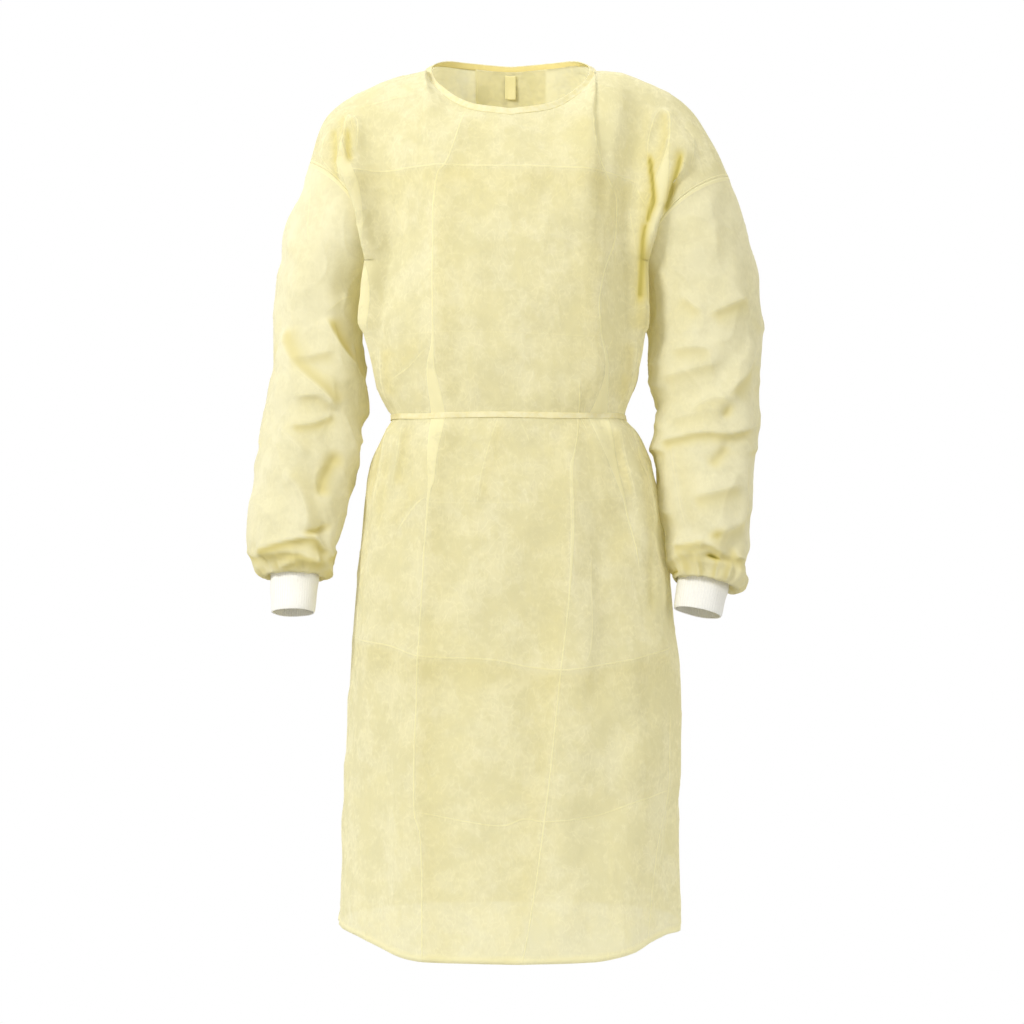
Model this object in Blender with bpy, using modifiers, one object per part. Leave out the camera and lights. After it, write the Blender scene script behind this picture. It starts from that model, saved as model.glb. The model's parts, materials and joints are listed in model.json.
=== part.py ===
"""An isolation gown of thin nonwoven cloth, hollow and upright as it is worn.

The maker's pieces are a front, two overlapping backs, two sleeves, two knitted cuffs,
a tape round the neck with its tie, a belt of the same tape with its tie, and a blank label.

Frame: metres, +Z up, the front faces -Y, and the wearer's left is at +X. The origin is
the middle of the neck opening, level with the points where the shoulders meet the neck.
"""
import math

import bmesh
import bpy
import numpy as np

# Cloth
WALL = 0.0012
SEAM_GAP = 0.0003
SIDE_PULL = 0.6 * SEAM_GAP
TOP_PULL = 0.95 * SEAM_GAP
TAPE_WALL = 0.0010
CUFF_WALL = 0.0018

# Fineness of the meshes
HALF_COLUMNS = 16
NECK_COLUMNS = 7
OVERLAP_COLUMNS = 2
STEP = 1 / HALF_COLUMNS
BACK_OVERLAP = OVERLAP_COLUMNS * STEP
UNDERLAP_DEPTH = WALL + 0.0007
YOKE_ROWS = 12
SLEEVE_SIDES = 2 * YOKE_ROWS
SLEEVE_BLENDS = (0.0, 0.14, 0.30, 0.48, 0.66, 0.84)
CUFF_SHARES = (0.0, 0.33, 0.67, 1.0)
LABEL_ROWS = 5
KNOT_SEGMENTS = 14
KNOT_RINGS = 8
NEAR = 0.01

# Body of the gown: half widths and depths at each height, side seams at y = 0
UNDERARM = -0.250
HEM = -1.085
HEM_DIP = 0.022
HEM_DIP_TOP = -0.90
HEM_DIP_SHARES = (0.25, 0.72)
ROUNDNESS = 2.35
#            height   right    left   front    back
SECTIONS = ((-0.250, 0.1680, 0.1590, 0.1250, 0.1120),
            (-0.295, 0.1760, 0.1600, 0.1270, 0.1120),
            (-0.335, 0.1780, 0.1620, 0.1270, 0.1100),
            (-0.375, 0.1750, 0.1620, 0.1250, 0.1070),
            (-0.405, 0.1690, 0.1570, 0.1220, 0.1030),
            (-0.428, 0.1590, 0.1480, 0.1180, 0.0990),
            (-0.445, 0.1500, 0.1450, 0.1150, 0.0970),
            (-0.462, 0.1590, 0.1560, 0.1180, 0.1010),
            (-0.490, 0.1710, 0.1720, 0.1250, 0.1090),
            (-0.530, 0.1815, 0.1850, 0.1330, 0.1180),
            (-0.600, 0.1890, 0.1965, 0.1410, 0.1290),
            (-0.700, 0.1985, 0.2070, 0.1490, 0.1400),
            (-0.860, 0.2070, 0.2120, 0.1600, 0.1550),
            (-1.000, 0.2120, 0.2140, 0.1690, 0.1670),
            (-1.085, 0.2160, 0.2165, 0.1750, 0.1730))

# Neck opening: its edge seen from above is an oval, and its height changes round it
NECK_HALF_WIDTH = 0.106
NECK_DEPTH = 0.085
#             turn from the front, height of the edge
NECK_EDGE = ((0, -0.0709), (30, -0.0610), (60, -0.0330), (90, -0.0045),
             (120, 0.0110), (150, 0.0125), (180, 0.0100))
NECK_SHARE = NECK_COLUMNS * STEP

# Shoulder ridges, from the neck out to the top of the sleeve seam
#                  outward  height
SHOULDER_RIGHT = ((0.1060, -0.0045), (0.1440, -0.0130), (0.1800, -0.0270), (0.2195, -0.0490),
                  (0.2335, -0.0630), (0.2430, -0.0820), (0.2500, -0.1050), (0.2546, -0.1220))
SHOULDER_LEFT = ((0.1060, -0.0045), (0.1400, -0.0090), (0.1750, -0.0210), (0.2170, -0.0430),
                 (0.2315, -0.0570), (0.2480, -0.0820), (0.2640, -0.1120), (0.2770, -0.1400))

# How the yoke's columns leave the neck and the shoulder, forwards and down, and how they
# reach the underarm level, all as shares of their drop. They turn to the armhole from a share on.
NECK_LEAVE = (0.20, -0.33)
SHOULDER_LEAVE = (0.38, 0.0)
UNDERARM_REACH = 0.40
SHOULDER_FROM = 0.10
ARMHOLE_FROM = 0.50

# Armholes: how far they stand out in front and behind, and curve in towards the chest
ARMHOLE_FRONT = 0.074
ARMHOLE_BACK = 0.078
ARMHOLE_SCOOP = 0.020

# Folds of the body. A share of 0 is the middle of the panel and 1 its side seam.
# Levels run from 0 at the neck through 1 at the underarm to 2 at the hem.
#                share   share   level   level   half
#      panel     at top  at end  of top  of end  width   rise
FOLDS = (("front", -0.81, -0.79, 0.25, 1.22, 0.125, 0.0230),
         ("front", 0.81, 0.79, 0.25, 1.22, 0.125, 0.0220),
         ("front", -0.64, -0.60, 0.15, 1.10, 0.120, -0.0070),
         ("front", 0.64, 0.60, 0.15, 1.10, 0.120, -0.0070),
         ("front", -0.26, -0.30, 0.55, 1.42, 0.110, 0.0045),
         ("front", 0.36, 0.40, 0.45, 1.40, 0.120, 0.0040),
         ("front", -0.34, -0.38, 1.16, 2.10, 0.130, 0.0055),
         ("front", 0.26, 0.12, 1.12, 2.10, 0.120, 0.0050),
         ("front", -0.66, -0.60, 1.14, 1.80, 0.140, 0.0060),
         ("front", 0.62, 0.66, 1.14, 1.80, 0.140, 0.0070),
         ("front", 0.84, 0.80, 1.56, 2.10, 0.120, 0.0045),
         ("back", -0.80, -0.79, 0.25, 1.22, 0.125, 0.0150),
         ("back", 0.80, 0.79, 0.25, 1.22, 0.125, 0.0150),
         ("back", -0.55, -0.52, 0.50, 1.40, 0.130, 0.0050),
         ("back", 0.52, 0.50, 0.60, 1.40, 0.130, 0.0050),
         ("back", -0.38, -0.42, 1.12, 2.10, 0.130, 0.0080),
         ("back", 0.40, 0.46, 1.12, 2.10, 0.130, 0.0070),
         ("back", -0.72, -0.76, 1.14, 2.10, 0.130, 0.0070),
         ("back", 0.74, 0.78, 1.14, 2.10, 0.130, 0.0080))

# Folds near the side seams rise partly forwards or backwards, clear of the arms.
# They grow quickly from both ends, and end a little before the seams.
FOLD_TURN = 0.62
FOLD_GROWTH = 6.4
FOLD_SEAM_SHARE = 0.06

# Sleeves: how far out each side of the tube lies, its middle along Y and its half depth
#                height   outer   inner   middle  half depth
SLEEVE_RIGHT = ((-0.310, 0.2990, 0.1915, 0.0040, 0.0680),
                (-0.340, 0.3002, 0.1912, 0.0030, 0.0660),
                (-0.370, 0.2998, 0.1885, 0.0000, 0.0640),
                (-0.392, 0.3000, 0.1848, -0.0030, 0.0620),
                (-0.405, 0.3040, 0.1812, -0.0040, 0.0630),
                (-0.424, 0.3088, 0.1867, -0.0060, 0.0640),
                (-0.450, 0.3138, 0.1905, -0.0090, 0.0620),
                (-0.480, 0.3160, 0.1890, -0.0150, 0.0600),
                (-0.520, 0.3225, 0.1950, -0.0230, 0.0580),
                (-0.556, 0.3276, 0.2041, -0.0315, 0.0560),
                (-0.590, 0.3288, 0.2150, -0.0410, 0.0540),
                (-0.612, 0.3275, 0.2200, -0.0470, 0.0500),
                (-0.626, 0.3218, 0.2232, -0.0510, 0.0440),
                (-0.638, 0.3140, 0.2271, -0.0537, 0.0370),
                (-0.646, 0.3070, 0.2320, -0.0560, 0.0310))
SLEEVE_LEFT = ((-0.310, 0.3175, 0.1757, 0.0040, 0.0690),
               (-0.349, 0.3194, 0.1757, 0.0040, 0.0670),
               (-0.377, 0.3170, 0.1755, 0.0010, 0.0640),
               (-0.405, 0.3160, 0.1775, -0.0020, 0.0620),
               (-0.430, 0.3151, 0.1905, -0.0050, 0.0620),
               (-0.452, 0.3140, 0.1843, -0.0080, 0.0630),
               (-0.482, 0.3089, 0.1808, -0.0140, 0.0610),
               (-0.515, 0.3066, 0.1835, -0.0210, 0.0590),
               (-0.545, 0.3048, 0.1885, -0.0280, 0.0570),
               (-0.578, 0.3014, 0.1925, -0.0370, 0.0550),
               (-0.605, 0.2986, 0.1965, -0.0450, 0.0510),
               (-0.622, 0.2900, 0.1960, -0.0500, 0.0450),
               (-0.636, 0.2945, 0.1985, -0.0530, 0.0410),
               (-0.649, 0.2915, 0.2035, -0.0575, 0.0370),
               (-0.655, 0.2840, 0.2045, -0.0590, 0.0340))
SLEEVE_REACH = 0.36
SLEEVE_START_OUTER = (0.32, 0.0, -0.95)
SLEEVE_START_INNER = (0.66, 0.0, -0.75)
FOREARM_TOP = -0.350
FOREARM_BELOW = -0.450
FOREARM_LEAN = -0.27
GATHERS = YOKE_ROWS
GATHER_TOP = -0.545
GATHER_FULL = -0.620
GATHER_RISE = 0.0030

# Knitted cuffs: top and bottom rims, each with its middle, half width and half depth
#                    outward  height   middle   half width  half depth
CUFF_RIGHT_TOP = (0.2689, -0.6380, -0.0550, 0.0309, 0.0250)
CUFF_RIGHT_BOTTOM = (0.2704, -0.6890, -0.0690, 0.0268, 0.0225)
CUFF_LEFT_TOP = (0.2417, -0.6440, -0.0560, 0.0320, 0.0250)
CUFF_LEFT_BOTTOM = (0.2328, -0.6890, -0.0690, 0.0291, 0.0225)
CUFF_LEFT_SLOPE = -0.20

# Tapes
NECK_TAPE_WIDTH = 0.0066
NECK_TAPE_WALL = 0.0018
NECK_TAPE_LEAN = (0.30, 0.95)
BELT_HEIGHT = -0.445
BELT_WIDTH = 0.0075
BELT_CLEAR = 2 * SEAM_GAP
NECK_TIE_CLEAR = 0.0007
BELT_TIE_CLEAR = BELT_CLEAR + TAPE_WALL + SEAM_GAP
TIE_STEPS = 32
#            share   level, down one tail, over the knot and down the other
NECK_TIE = ((-0.085, 0.80), (-0.070, 0.60), (-0.045, 0.38), (-0.020, 0.17), (0.0, 0.035),
            (0.022, 0.17), (0.050, 0.40), (0.060, 0.66))
BELT_TIE = ((-0.130, 1.56), (-0.105, 1.44), (-0.070, 1.34), (-0.030, 1.255), (0.0, 1.2240),
            (0.035, 1.26), (0.085, 1.37), (0.100, 1.50))
SKIRT_HEIGHTS = (-0.280, -0.310, -0.340, -0.370, -0.395, -0.415, -0.430, BELT_HEIGHT + BELT_WIDTH / 2,
                 BELT_HEIGHT - BELT_WIDTH / 2, -0.462, -0.480, -0.505, -0.540, -0.590, -0.650,
                 -0.720, -0.800, -0.885, -0.970, -1.035, HEM)
KNOT_SIZE = (0.016, 0.0065, 0.011)

# Blank label inside the back of the neck
LABEL_SIZE = (0.014, 0.030)
LABEL_DROP = 0.004
LABEL_HALF_SHARE = 0.03

# Colours, roughness and metallic value of each material
CLOTH_LOOK = ((0.86, 0.78, 0.42, 1.0), 0.75)
TAPE_LOOK = ((0.90, 0.80, 0.38, 1.0), 0.70)
CUFF_LOOK = ((0.88, 0.86, 0.76, 1.0), 0.85)
LABEL_LOOK = ((0.80, 0.72, 0.36, 1.0), 0.70)

RIGHT, LEFT = -1, 1


def spline(knots, values, at):
    """A smooth value at one knot position, with slopes taken from the neighbouring knots."""
    knots = np.asarray(knots, float)
    values = np.asarray(values, float)
    slopes = np.gradient(values, knots, axis=0)
    i = int(np.clip(np.searchsorted(knots, at) - 1, 0, len(knots) - 2))
    span = knots[i + 1] - knots[i]
    t = (at - knots[i]) / span
    return ((1 + 2 * t) * (1 - t) ** 2 * values[i] + t * (1 - t) ** 2 * span * slopes[i]
            + t * t * (3 - 2 * t) * values[i + 1] + t * t * (t - 1) * span * slopes[i + 1])


def from_table(table, height):
    """The row of a table at a height, smoothed between its rows. Heights run downwards."""
    rows = np.array(table)
    return spline(-rows[:, 0], rows[:, 1:], -height)


def ease(value, start, end):
    """0 before the start and 1 after the end, with a smooth rise between them."""
    t = min(max((value - start) / (end - start), 0.0), 1.0)
    return t * t * (3 - 2 * t)


def bezier(p0, p1, p2, p3, t):
    s = 1 - t
    return s ** 3 * p0 + 3 * s * s * t * p1 + 3 * s * t * t * p2 + t ** 3 * p3


def level_at(height):
    return 1 + (height - UNDERARM) / (HEM - UNDERARM)


def neck_point(turn):
    """The edge of the neck opening, at a turn in degrees from the front towards the left."""
    angle = math.radians(turn)
    rows = np.array(NECK_EDGE)
    folded = abs((turn + 180) % 360 - 180)
    return np.array((NECK_HALF_WIDTH * math.sin(angle), -NECK_DEPTH * math.cos(angle),
                     spline(rows[:, 0], rows[:, 1], folded)))


def shoulder_point(side, share):
    """The shoulder ridge of one side, from 0 at the neck to 1 at the sleeve seam."""
    table = np.array(SHOULDER_LEFT if side == LEFT else SHOULDER_RIGHT)
    lengths = np.concatenate(([0], np.cumsum(np.linalg.norm(np.diff(table, axis=0), axis=1))))
    out, height = spline(lengths / lengths[-1], table, share)
    return np.array((side * out, 0.0, height))


def armhole_point(side, turn):
    """The sleeve seam: 0 at its top, 90 in front, 180 under the arm and 270 behind."""
    angle = math.radians(turn)
    top = shoulder_point(side, 1.0)
    under = hip_point(False, side, UNDERARM)
    middle = (top + under) / 2
    half = (top - under) / 2
    depth = -ARMHOLE_FRONT if turn < 180 else -ARMHOLE_BACK
    inward = np.array((-half[2], 0.0, half[0])) / np.linalg.norm(half) * -side
    if inward[0] * side > 0:
        inward = -inward
    scoop = ARMHOLE_SCOOP * math.sin(angle) ** 2
    return middle + math.cos(angle) * half + np.array((0, depth * math.sin(angle), 0)) + scoop * inward


def hip_point(back, share, height):
    """The body below the underarm as a rounded ring, without its folds."""
    right, left, front, rear = from_table(SECTIONS, height)
    angle = abs(share) * math.pi / 2
    power = 2 / ROUNDNESS
    out = (left if share > 0 else right) * math.sin(angle) ** power
    depth = (rear if back else -front) * max(math.cos(angle), 0.0) ** power
    return np.array((math.copysign(out, share), depth, height))


def top_point(back, share):
    """The upper edge of a panel: the neck edge in the middle and the shoulder ridge beyond."""
    side = LEFT if share > 0 else RIGHT
    if abs(share) <= NECK_SHARE:
        turn = abs(share) / NECK_SHARE * 90
        return neck_point(side * (180 - turn if back else turn))
    return shoulder_point(side, (abs(share) - NECK_SHARE) / (1 - NECK_SHARE))


def yoke_point(back, share, level):
    """The body from the neck and shoulders down to the underarm, ending at the armhole."""
    side = LEFT if share > 0 else RIGHT
    top = top_point(back, share)
    under = hip_point(back, share, UNDERARM)
    drop = top[2] - under[2]
    shoulder = ease(abs(share), SHOULDER_FROM, NECK_SHARE)
    forward, down = np.array(NECK_LEAVE) * (1 - shoulder) + np.array(SHOULDER_LEAVE) * shoulder
    leave = np.array((0.0, forward if back else -forward, down)) * drop
    column = bezier(top, top + leave, under + np.array((0, 0, UNDERARM_REACH * drop)), under, level)

    seam_top = shoulder_point(side, 1.0)
    seam_under = hip_point(back, side, UNDERARM)
    seam = armhole_point(side, 360 - 180 * level if back else 180 * level)
    swing = seam - bezier(seam_top, seam_top, seam_under, seam_under, level)
    armward = ease(abs(share), ARMHOLE_FROM, 1.0)
    beside = bezier(top, top, under, under, level) + swing * armward
    return column * (1 - armward) + beside * armward


def fold_rise(panel, share, level):
    """How far the folds carry a point out of the plain form, zero at the panel's side seams."""
    rise = 0.0
    for name, share_top, share_end, level_top, level_end, half_width, height in FOLDS:
        if name != panel or not level_top < level < level_end:
            continue
        along = (level - level_top) / (level_end - level_top)
        across = (share - share_top - (share_end - share_top) * along) / half_width
        if abs(across) < 1:
            rise += height * (1 - across ** 2) ** 2 * min(1.0, FOLD_GROWTH * along * (1 - along))
    return rise * ease(1 - abs(share), 0.0, FOLD_SEAM_SHARE)


def body_point(back, share, level):
    """A point on the outside of the body at a share of the panel and a level down it."""
    height = UNDERARM + (level - 1) * (HEM - UNDERARM)
    if level <= 1:
        point = yoke_point(back, share, level)
    else:
        point = hip_point(back, share, height)
    if not back and height < HEM_DIP_TOP:
        dip = HEM_DIP * (1 - ease(abs(share), *HEM_DIP_SHARES))
        point[2] -= dip * (HEM_DIP_TOP - height) / (HEM_DIP_TOP - HEM)
    angle = share * math.pi / 2 * FOLD_TURN
    outward = np.array((math.sin(angle), (1 if back else -1) * math.cos(angle), 0))
    return point + outward * fold_rise("back" if back else "front", share, level)


def body_normal(back, share, level):
    """The outward direction of the body, from points close by on it."""
    across = body_point(back, share + NEAR, level) - body_point(back, share - NEAR, level)
    down = body_point(back, share, level + NEAR) - body_point(back, share, max(level - NEAR, 0.0))
    normal = np.cross(down, across) if not back else np.cross(across, down)
    return normal / np.linalg.norm(normal)


def sleeve_ring(side, height):
    """One ring of the sleeve tube, its points given as a function of the turn round it."""
    outer, inner, middle, half_depth = from_table(SLEEVE_LEFT if side == LEFT else SLEEVE_RIGHT, height)
    lean = FOREARM_LEAN * ease(-height, -FOREARM_TOP, -FOREARM_BELOW)
    slope = (CUFF_LEFT_SLOPE if side == LEFT else 0.0) * ease(-height, -GATHER_TOP, -GATHER_FULL)
    gather = GATHER_RISE * ease(-height, -GATHER_TOP, -GATHER_FULL)

    def point(turn):
        angle = math.radians(turn)
        uneven = 1 + 0.4 * math.sin(3 * angle + side)
        swell = 1 + gather / half_depth * uneven * math.cos(GATHERS * angle)
        x = (outer - inner) / 2 * math.cos(angle) * swell
        y = -half_depth * math.sin(angle) * swell
        return np.array((side * ((outer + inner) / 2 + x), middle + y, height + slope * x + lean * y))
    return point


def cuff_ring(side, share):
    """One ring of a cuff, from 0 at its top rim to 1 at its bottom rim."""
    top = np.array(CUFF_LEFT_TOP if side == LEFT else CUFF_RIGHT_TOP)
    bottom = np.array(CUFF_LEFT_BOTTOM if side == LEFT else CUFF_RIGHT_BOTTOM)
    out, height, middle, half_width, half_depth = top + (bottom - top) * share
    slope = CUFF_LEFT_SLOPE if side == LEFT else 0.0

    def point(turn):
        x = half_width * math.cos(math.radians(turn))
        y = -half_depth * math.sin(math.radians(turn))
        return np.array((side * (out + x), middle + y, height + slope * x + FOREARM_LEAN * y))
    return point


def make_material(name, look):
    material = bpy.data.materials.new(name)
    material.use_nodes = True
    shader = material.node_tree.nodes["Principled BSDF"]
    shader.inputs["Base Color"].default_value = look[0]
    shader.inputs["Roughness"].default_value = look[1]
    shader.inputs["Metallic"].default_value = 0.0
    return material


def add_sheet(name, rows, look, wall, closed=False, outward=False):
    """A wall over a grid of points, which are its outside, or its inside if it grows outward."""
    bm = bmesh.new()
    grid = [[bm.verts.new(point) for point in row] for row in rows]
    for upper, lower in zip(grid, grid[1:]):
        count = len(upper) if closed else len(upper) - 1
        for i in range(count):
            j = (i + 1) % len(upper)
            bm.faces.new((upper[i], lower[i], lower[j], upper[j]))
    mesh = bpy.data.meshes.new(name)
    bm.to_mesh(mesh)
    bm.free()
    mesh.shade_smooth()
    sheet = bpy.data.objects.new(name, mesh)
    parts.objects.link(sheet)
    shell = sheet.modifiers.new("Wall", "SOLIDIFY")
    shell.thickness = wall
    shell.offset = 1.0 if outward else -1.0
    sheet.data.materials.append(make_material(name, look))
    return sheet


def pull_in(row, gap):
    """Shortens a row of points at both its ends, to leave half of a seam's gap at each."""
    row = [np.array(point) for point in row]
    for end, inside in ((0, 1), (-1, -2)):
        along = row[inside] - row[end]
        row[end] = row[end] + along / np.linalg.norm(along) * gap
    return row


def pull_down(rows, gap):
    """Shortens each column of a panel at its top, where it meets the other panel or the tape."""
    for i, point in enumerate(rows[0]):
        along = rows[1][i] - point
        rows[0][i] = point + along / np.linalg.norm(along) * gap
    return rows


def panel_rows(back, shares, levels, sunk=None):
    rows = []
    for level in levels:
        row = []
        for share in shares:
            point = body_point(back, share, level)
            if sunk:
                point = point - body_normal(back, share, level) * sunk(share)
            row.append(point)
        rows.append(pull_in(row, SIDE_PULL))
    return pull_down(rows, TOP_PULL)


def front_shares():
    """Columns of the front, from the right side seam to the left one."""
    return list(np.linspace(-1, 1, 2 * HALF_COLUMNS + 1))


def back_shares(side):
    """Columns of one back, running from the wearer's left towards the right."""
    first, last = (BACK_OVERLAP, -1) if side == RIGHT else (1, -BACK_OVERLAP)
    return list(np.linspace(first, last, HALF_COLUMNS + OVERLAP_COLUMNS + 1))


def add_front(levels):
    add_sheet("front", panel_rows(False, front_shares(), levels), CLOTH_LOOK, WALL)


def add_backs(levels):
    """Two backs that lap over the middle, the left one under the right one."""
    def underlap(share):
        return UNDERLAP_DEPTH * (1 - ease(share, BACK_OVERLAP, BACK_OVERLAP + 0.22))
    add_sheet("back_right", panel_rows(True, back_shares(RIGHT), levels), CLOTH_LOOK, WALL)
    add_sheet("back_left", panel_rows(True, back_shares(LEFT), levels, underlap), CLOTH_LOOK, WALL)


def add_sleeve(side, name):
    turns = np.arange(SLEEVE_SIDES) * 360 / SLEEVE_SIDES * -side
    table = SLEEVE_LEFT if side == LEFT else SLEEVE_RIGHT
    first = sleeve_ring(side, table[0][0])
    outer_start = np.array(SLEEVE_START_OUTER) * (side, 1, 1)
    inner_start = np.array(SLEEVE_START_INNER) * (side, 1, 1)
    rows = []
    for blend in SLEEVE_BLENDS:
        row = []
        for turn in turns:
            seam = armhole_point(side, turn % 360)
            inside = (1 - math.cos(math.radians(turn))) / 2
            start = outer_start * (1 - inside) + inner_start * inside
            end = first(turn)
            reach = SLEEVE_REACH * np.linalg.norm(end - seam)
            row.append(bezier(seam, seam + start * reach, end + np.array((0, 0, reach)), end, blend))
        rows.append(row)
    rows += [[sleeve_ring(side, line[0])(turn) for turn in turns] for line in table]
    rim = cuff_ring(side, 0.0)
    rows.append([rim(turn) + np.array((0, 0, SEAM_GAP)) for turn in turns])
    add_sheet(name, pull_down(rows, SEAM_GAP), CLOTH_LOOK, WALL, closed=True)


def add_cuff(side, name):
    turns = np.arange(SLEEVE_SIDES) * 360 / SLEEVE_SIDES * -side
    rows = [[cuff_ring(side, share)(turn) for turn in turns] for share in CUFF_SHARES]
    add_sheet(name, rows, CUFF_LOOK, CUFF_WALL, closed=True)


def add_neck_binding():
    """A folded tape that stands on the neck edge and leans in towards the neck."""
    turns = np.arange(0, 360, 90 / NECK_COLUMNS)
    edge = [neck_point(turn) for turn in turns]
    inward, upward = NECK_TAPE_LEAN
    top = []
    for point in edge:
        middleward = -point[:2] / np.linalg.norm(point[:2]) * inward
        top.append(point + np.array((middleward[0], middleward[1], upward)) * NECK_TAPE_WIDTH)
    add_sheet("neck_binding", (top, edge), TAPE_LOOK, NECK_TAPE_WALL, closed=True)


def add_belt():
    """The belt, made from the points of the panels it lies on, moved out."""
    backs = back_shares(LEFT)[:-2 * OVERLAP_COLUMNS - 1] + back_shares(RIGHT)
    rows = []
    for height in (BELT_HEIGHT + BELT_WIDTH / 2, BELT_HEIGHT - BELT_WIDTH / 2):
        row = []
        for back, order in ((False, front_shares()), (True, backs[1:-1])):
            for share in order:
                level = level_at(height)
                row.append(body_point(back, share, level) + body_normal(back, share, level) * BELT_CLEAR)
        rows.append(row)
    add_sheet("belt", rows, TAPE_LOOK, TAPE_WALL, closed=True, outward=True)


def add_tie(name, route, width, clear):
    """Two tails of tape that hang from one knot over the backs."""
    shares, levels = np.array(route).T
    knots = np.linspace(0, 1, len(route))
    edges = ([], [])
    for at in np.linspace(0, 1, TIE_STEPS):
        share, level = spline(knots, shares, at), spline(knots, levels, at)
        ahead_at = min(at + NEAR, 1.0)
        behind_at = max(at - NEAR, 0.0)
        ahead = body_point(True, spline(knots, shares, ahead_at), spline(knots, levels, ahead_at))
        behind = body_point(True, spline(knots, shares, behind_at), spline(knots, levels, behind_at))
        normal = body_normal(True, share, level)
        across = np.cross(normal, ahead - behind)
        across = across / np.linalg.norm(across) * width / 2
        middle = body_point(True, share, level) + normal * clear
        edges[0].append(middle + across)
        edges[1].append(middle - across)
    add_sheet(name, edges, TAPE_LOOK, TAPE_WALL, outward=True)


def add_knot(name, level, clear):
    """A flat round knot over the top of a tie."""
    bm = bmesh.new()
    bmesh.ops.create_uvsphere(bm, u_segments=KNOT_SEGMENTS, v_segments=KNOT_RINGS, radius=0.5)
    bmesh.ops.scale(bm, vec=KNOT_SIZE, verts=bm.verts)
    normal = body_normal(True, 0.0, level)
    place = body_point(True, 0.0, level) + normal * (clear + KNOT_SIZE[1] / 2)
    bmesh.ops.translate(bm, vec=place, verts=bm.verts)
    mesh = bpy.data.meshes.new(name)
    bm.to_mesh(mesh)
    bm.free()
    mesh.shade_smooth()
    knot = bpy.data.objects.new(name, mesh)
    parts.objects.link(knot)
    knot.data.materials.append(make_material(name, TAPE_LOOK))


def add_label():
    """A blank label just inside the back of the neck, made from the back's own points."""
    width, length = LABEL_SIZE
    inside = WALL + UNDERLAP_DEPTH + 2 * SEAM_GAP
    drop = neck_point(180)[2] - UNDERARM
    rows = []
    for down in np.linspace(LABEL_DROP, LABEL_DROP + length, LABEL_ROWS):
        row = []
        for share in (LABEL_HALF_SHARE, 0.0, -LABEL_HALF_SHARE):
            point = body_point(True, share, down / drop) - body_normal(True, share, down / drop) * inside
            point[0] = share / LABEL_HALF_SHARE * width / 2
            row.append(point)
        rows.append(row)
    add_sheet("neck_label", rows, LABEL_LOOK, TAPE_WALL)


for old in list(bpy.data.objects):
    bpy.data.objects.remove(old, do_unlink=True)
parts = bpy.data.collections.new("isolation_gown")
bpy.context.scene.collection.children.link(parts)

panel_levels = list(np.linspace(0, 1, YOKE_ROWS + 1)) + [level_at(height) for height in SKIRT_HEIGHTS]
add_front(panel_levels)
add_backs(panel_levels)
for arm, word in ((RIGHT, "right"), (LEFT, "left")):
    add_sleeve(arm, "sleeve_" + word)
    add_cuff(arm, "cuff_" + word)
add_neck_binding()
add_belt()
add_tie("neck_tie", NECK_TIE, NECK_TAPE_WIDTH, NECK_TIE_CLEAR)
add_tie("belt_tie", BELT_TIE, BELT_WIDTH, BELT_TIE_CLEAR)
add_knot("neck_knot", NECK_TIE[4][1], NECK_TIE_CLEAR + 2 * TAPE_WALL)
add_knot("belt_knot", BELT_TIE[4][1], BELT_TIE_CLEAR + TAPE_WALL + SEAM_GAP)
add_label()
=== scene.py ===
# %% [markdown]
# An isolation gown
#
# This gown is cut from one thin sheet: a spunbond nonwoven, pale yellow, so light that a
# hand shows through it. A front, two backs that lap over each other and two wide sleeves
# are welded together, the neck is bound with a folded tape, a narrow tape runs round the
# waist, and knitted cuffs close the sleeves. The imported CAD model gives the hollow form.
# This lesson dresses it: the same surfaces are made again in fine meshes, the creases of
# the folded gown are laid on them, and each cloth gets its own material.

# %% Load the frame
import json
import math

import bpy
import mathutils
import numpy as np
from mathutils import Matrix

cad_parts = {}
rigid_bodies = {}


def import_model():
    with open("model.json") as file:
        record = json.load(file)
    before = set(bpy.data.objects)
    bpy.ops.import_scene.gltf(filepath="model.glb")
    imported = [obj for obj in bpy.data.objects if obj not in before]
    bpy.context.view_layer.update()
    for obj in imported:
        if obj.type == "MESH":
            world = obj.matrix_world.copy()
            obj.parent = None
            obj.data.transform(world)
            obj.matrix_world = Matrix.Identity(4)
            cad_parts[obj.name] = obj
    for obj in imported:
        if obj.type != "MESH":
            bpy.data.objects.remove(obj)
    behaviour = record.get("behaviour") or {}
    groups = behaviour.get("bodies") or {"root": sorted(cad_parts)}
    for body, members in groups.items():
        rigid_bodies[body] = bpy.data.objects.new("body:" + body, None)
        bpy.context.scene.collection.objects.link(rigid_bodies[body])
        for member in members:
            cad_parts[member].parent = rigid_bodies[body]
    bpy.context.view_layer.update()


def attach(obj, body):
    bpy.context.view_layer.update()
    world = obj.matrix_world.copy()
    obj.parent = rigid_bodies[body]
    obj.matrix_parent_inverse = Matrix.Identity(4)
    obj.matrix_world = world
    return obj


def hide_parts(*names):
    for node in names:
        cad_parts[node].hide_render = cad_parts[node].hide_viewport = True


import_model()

# %% [markdown]
# The picture is taken from straight in front, with the lens level with the hips. A long
# lens three metres away keeps the sleeves and the hem in true proportion, so the camera is
# placed there and not tilted.

# %% Place the camera
CAMERA_PLACE = (0.0019, -3.2, -0.5639)
LENS = 88.58
bpy.ops.object.camera_add(location=CAMERA_PLACE, rotation=(math.radians(90), 0, 0))
camera = bpy.context.object
camera.data.lens = LENS
camera.data.sensor_width = 36.0
camera.data.clip_end = 50.0
bpy.context.scene.camera = camera
print("camera at", CAMERA_PLACE, "lens", LENS)

# %% [markdown]
# Light and materials are both made of nodes. A few short helpers add a node, fill its inputs
# and link it, so that a material reads like a list of what it is made of.

# %% Helpers for nodes
MATERIALS = {}


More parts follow.
